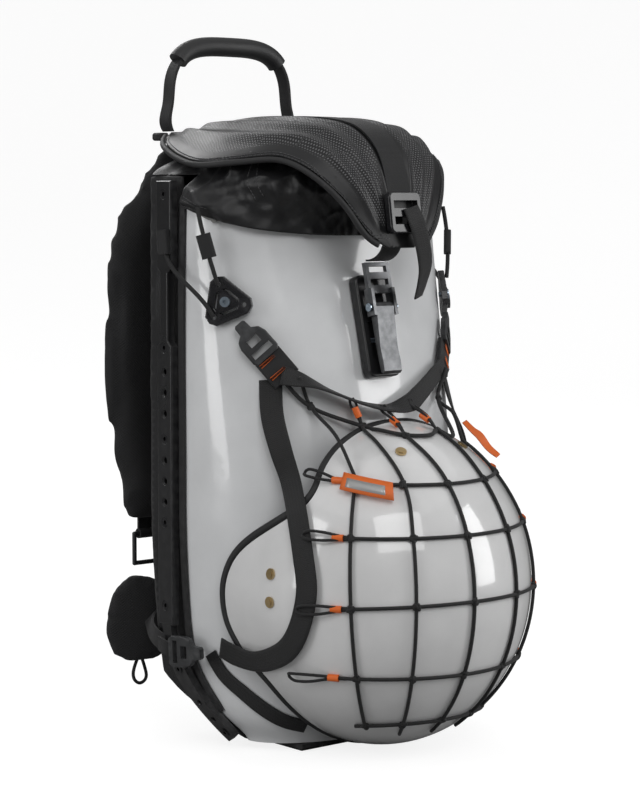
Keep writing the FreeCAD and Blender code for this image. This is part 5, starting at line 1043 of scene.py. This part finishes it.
BAND_LINE = [(-95, -74.5, 312), (-98.5, -81, 284), (-100, -94, 257), (-97.5, -105, 231), (-107, -128, 204)]
BAND_LINE += [(-114.5, -143, 176), (-118.5, -150, 152), (-121, -146.5, 128), (-122, -136, 108), (-122, -119, 95)]
BAND_LINE += [(-119.5, -88, 85), (-121, -62, 86), (-124.5, -46, 91)]
TOP_BAND = [
    ((-91, -84, 316), (-0.6, -0.75, 0.25)), ((-82, -92, 313), (-0.45, -0.6, 0.66)),
    ((-70, -99, 308.5), (-0.15, -0.3, 0.94)), ((-52, -106, 300), (0.05, -0.15, 0.99)),
    ((-28, -114, 290.5), (0.05, -0.15, 0.99)), ((-4, -120.5, 286), (0, -0.3, 0.95)),
    ((16, -119, 289), (0.05, -0.75, 0.66)), ((34, -111, 295), (0.15, -0.93, 0.35)), ((52, -103, 303), (0.3, -0.93, 0.22)),
    ((70, -94.5, 311), (0.48, -0.86, 0.16)), ((87, -84.5, 317), (0.64, -0.75, 0.14)),
]


def band_frames(side):
    """Points and outward normals of a side band, held just off the helmet."""
    points, normals = [], []
    for x, y, z in BAND_LINE:
        point = mm(x, y, z)
        away = point - HELMET_CENTRE
        ahead = min(away.y, 0)
        normal = Vector((away.x / HELMET_AXES.x**2, ahead / HELMET_AXES.y**2, away.z / HELMET_AXES.z**2)).normalized()
        if z > 240:
            share = min((z - 240) / 40, 1)
            normal = (normal * (1 - share) + Vector((-0.66, -0.74, 0.12)) * share).normalized()
        elif y > -70:
            normal = Vector((-1, 0, -0.15)).normalized()
        size = math.sqrt((away.x / HELMET_AXES.x) ** 2 + (ahead / HELMET_AXES.y) ** 2 + (away.z / HELMET_AXES.z) ** 2)
        if size < 1.022 and point.z < HELMET_CENTRE.z + HELMET_AXES.z * 0.75:
            grow = 1.022 / size
            point = HELMET_CENTRE + Vector((away.x * grow, ahead * grow + max(away.y, 0), away.z * grow))
        points.append(Vector((-side * point.x, point.y, point.z)))
        normals.append(Vector((-side * normal.x, normal.y, normal.z)))
    return points, normals


def add_bands():
    for side, word in ((LEFT, "left"), (RIGHT, "right")):
        points, normals = band_frames(side)
        mesh = strap_mesh("band_" + word, points, normals, 19 * MM, 1.8 * MM, 8)
        add_piece("net_band_webbing_" + word, mesh, "ribbed_webbing", replaces=("net_band_" + word,))
    points = [mm(*place) for place, _ in TOP_BAND]
    normals = [Vector(face).normalized() for _, face in TOP_BAND]
    mesh = strap_mesh("band_top", points, normals, 16 * MM, 1.8 * MM, 8)
    add_piece("net_band_webbing_top", mesh, "ribbed_webbing", replaces=("net_band_top",))


add_bands()


def add_strap_tail():
    """Free end of the centre strap: out of the buckle, over the beak and down beside the clasp."""
    places = [(4, -134, 452), (8, -138, 438), (16, -136, 420), (23, -131, 404), (25, -125, 390), (25, -120, 378)]
    faces = [(0, -1, 0.3), (0, -1, 0), (0.1, -1, -0.2), (0.2, -0.9, -0.3), (0.35, -0.9, -0.2), (0.45, -0.9, 0)]
    mesh = free_strap("strap_tail", places, faces, 17, 1.5)
    add_piece("lid_strap_tail", mesh, "ribbed_webbing", "lid")


# ---------------------------------------------------------------- bartacks and seams


def bartack(middle, across, along, out, wide, tall, count=11):
    """A dense zigzag of thread: its points, in order."""
    line = []
    for k in range(count):
        side = -1 if k % 2 else 1
        line.append(middle + across * (wide / 2 * side) + along * (tall * (k / (count - 1) - 0.5)) + out * 0.4 * MM)
    return tube_mesh("bartack", line, 0.45 * MM, 5)


def add_bartacks():
    """Bright zigzags on the tabs that join the net's webbing to its hooks."""
    along = Vector((0.41, -0.54, -0.73)).normalized()
    parts = []
    for side in (LEFT, RIGHT):
        out = Vector((side * 0.62, -0.77, 0.12)).normalized()
        run = Vector((-side * along.x, along.y, along.z))
        run = (run - out * run.dot(out)).normalized()
        across = run.cross(out).normalized()
        middle = mm(side * 92.9, -74.9, 322)
        for shift in (-6.5, 6.5):
            parts.append(bartack(middle + out * 5.9 * MM + run * shift * MM, across, run, out, 15 * MM, 2.4 * MM, 15))
    add_piece("tab_bartacks", join_meshes("tab_bartacks", parts), "orange")


add_bartacks()
add_strap_tail()

# ---------------------------------------------------------------- small sewn and corded details

COLLAR_FACE = surface_of(collar)
SHELL_FACE = surface_of(NODES["hard_shell"])


def round_the_collar(height_of, out, first=-150, last=150, steps=75):
    """Points on the collar's outer face at a height for each direction from the pack's middle."""
    line = []
    for k in range(steps + 1):
        a = math.radians(first + (last - first) * k / steps)
        inward = -Vector((math.sin(a), -math.cos(a), 0))
        start = mm(0, -20, 0) - inward * 0.3
        for _ in range(3):
            start.z = height_of(start) * MM
            hit, normal, _, _ = COLLAR_FACE.ray_cast(start, inward)
            if hit is None:
                break
            start = Vector((hit.x, hit.y, 0)) - inward * 0.02
        if hit is not None:
            line.append(hit + normal * out * MM)
    return line


def hem_height(point):
    """Height of the collar's hem, which drops towards the front, in millimetres."""
    return 452 - 52 * (-7 - point.y / MM) / 153


def add_collar_details():
    """Corded hem, a row of stitches over it, an upright seam each side, and a ribbon loop."""
    hem = round_the_collar(lambda point: hem_height(point) + 2.2, 0.4, -96, 96, 90)
    add_piece("collar_hem_cord", tube_mesh("hem", hem, 1.25 * MM, 8), "softshell")
    rows = [round_the_collar(lambda point, up=up: hem_height(point) + up, 0.15, -94, 94, 90) for up in (6.5, 9.0)]
    stitch("collar_hem_stitches", rows)
    seams = []
    for a in (-62, -58.5, 58.5, 62):
        line = []
        for k in range(15):
            rise = 8 + 56 * k / 14
            line += round_the_collar(lambda point, up=rise: hem_height(point) + up, 0.15, a - rise * 0.22, a - rise * 0.22, 1)[:1]
        if len(line) > 3:
            seams.append(line)
    stitch("collar_seam_stitches", seams)
    places = [mm(-119, -20, 452), mm(-119, -24, 448), mm(-118, -29, 445), mm(-116, -35, 443)]
    ribbon = laid_strap(COLLAR_FACE, places, 7, 0.9, 0.5)
    add_piece("ribbon_loop", ribbon, "grey_ribbon")


def lid_edge():
    """Middle line of the lid's binding, as a closed run of points."""
    mesh = NODES["lid_binding"].data
    count = 90
    sums = [[Vector(), 0.0] for _ in range(count)]
    for face in mesh.polygons:
        turn = math.atan2(face.center.x, -(face.center.y + 0.02))
        slot = int((turn / (2 * math.pi) + 0.5) * count) % count
        sums[slot][0] += face.center * face.area
        sums[slot][1] += face.area
    return [total / area for total, area in sums if area > 0]


def add_lid_stitches():
    """Two rows of stitches along the lid's binding."""
    binding, panel = surface_of(NODES["lid_binding"]), surface_of(NODES["lid_panel"])
    middle = lid_edge()
    rows = [[], []]
    for i, point in enumerate(middle):
        along = (middle[(i + 1) % len(middle)] - middle[i - 1]).normalized()
        _, normal, _, _ = panel.find_nearest(point + Vector((0, 0, 0.02)) + Vector((0, -0.012, 0)) * (point.y < -0.08))
        inward = normal.cross(along).normalized()
        if inward.dot(Vector((0, -0.02, 0.5)) - point) < 0:
            inward.negate()
        for row, shift in zip(rows, (3.2, 5.6)):
            row.append(laid(panel, point + inward * shift * MM + normal * 6 * MM, 0.25)[0])
    stitch("lid_stitches", [run_smooth(row, 4) for row in rows], body="lid")


def add_pull_tails():
    """Bright pull ribbon at the net's right side, and the black webbing that runs on under the helmet."""
    places = [(97, -101, 268), (101, -107, 261), (104, -113, 256), (108, -120, 246), (113, -127, 239)]
    faces = [(0.3, -0.9, 0.5), (0.1, -0.9, 0.7), (-0.1, -1, 0.5), (0.1, -1, 0.5), (0.4, -1, 0.3)]
    add_piece("pull_ribbon", free_strap("pull", places, faces, 9, 0.9), "orange")
    for side, word in ((LEFT, "left"), (RIGHT, "right")):
        line = [(132, -30, 82), (128, -42, 64), (121, -60, 50), (110, -78, 36), (95, -92, 22), (74, -100, 14)]
        points = [mm(side * x, y, z) for x, y, z in line]
        add_piece("under_webbing_" + word, laid_strap(SHELL_FACE, points, 13, 1.4, 0.3, 8), "ribbed_webbing")


def add_side_loops():
    """Elastic loop that hangs below each hip wing."""
    for side, word in ((LEFT, "left"), (RIGHT, "right")):
        line = [(101, 103, 60), (107, 104, 48), (108, 103, 38), (102, 101, 33), (95, 100, 38), (96, 102, 48), (100, 103, 60)]
        curve = bpy.data.curves.new("side_loop_" + word, "CURVE")
        curve.dimensions = "3D"
        curve.bevel_depth = 1.5 * MM
        curve.materials.append(FINISH["cord"])
        spline = curve.splines.new("NURBS")
        spline.points.add(len(line) - 1)
        for spot, (x, y, z) in zip(spline.points, line):
            spot.co = (*mm(side * x, y, z), 1)
        spline.order_u = 3
        spline.use_endpoint_u = True
        loop = bpy.data.objects.new("side_loop_" + word, curve)
        bpy.context.scene.collection.objects.link(loop)
        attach(loop, "wing_" + word)


add_collar_details()
add_lid_stitches()
add_pull_tails()
add_side_loops()
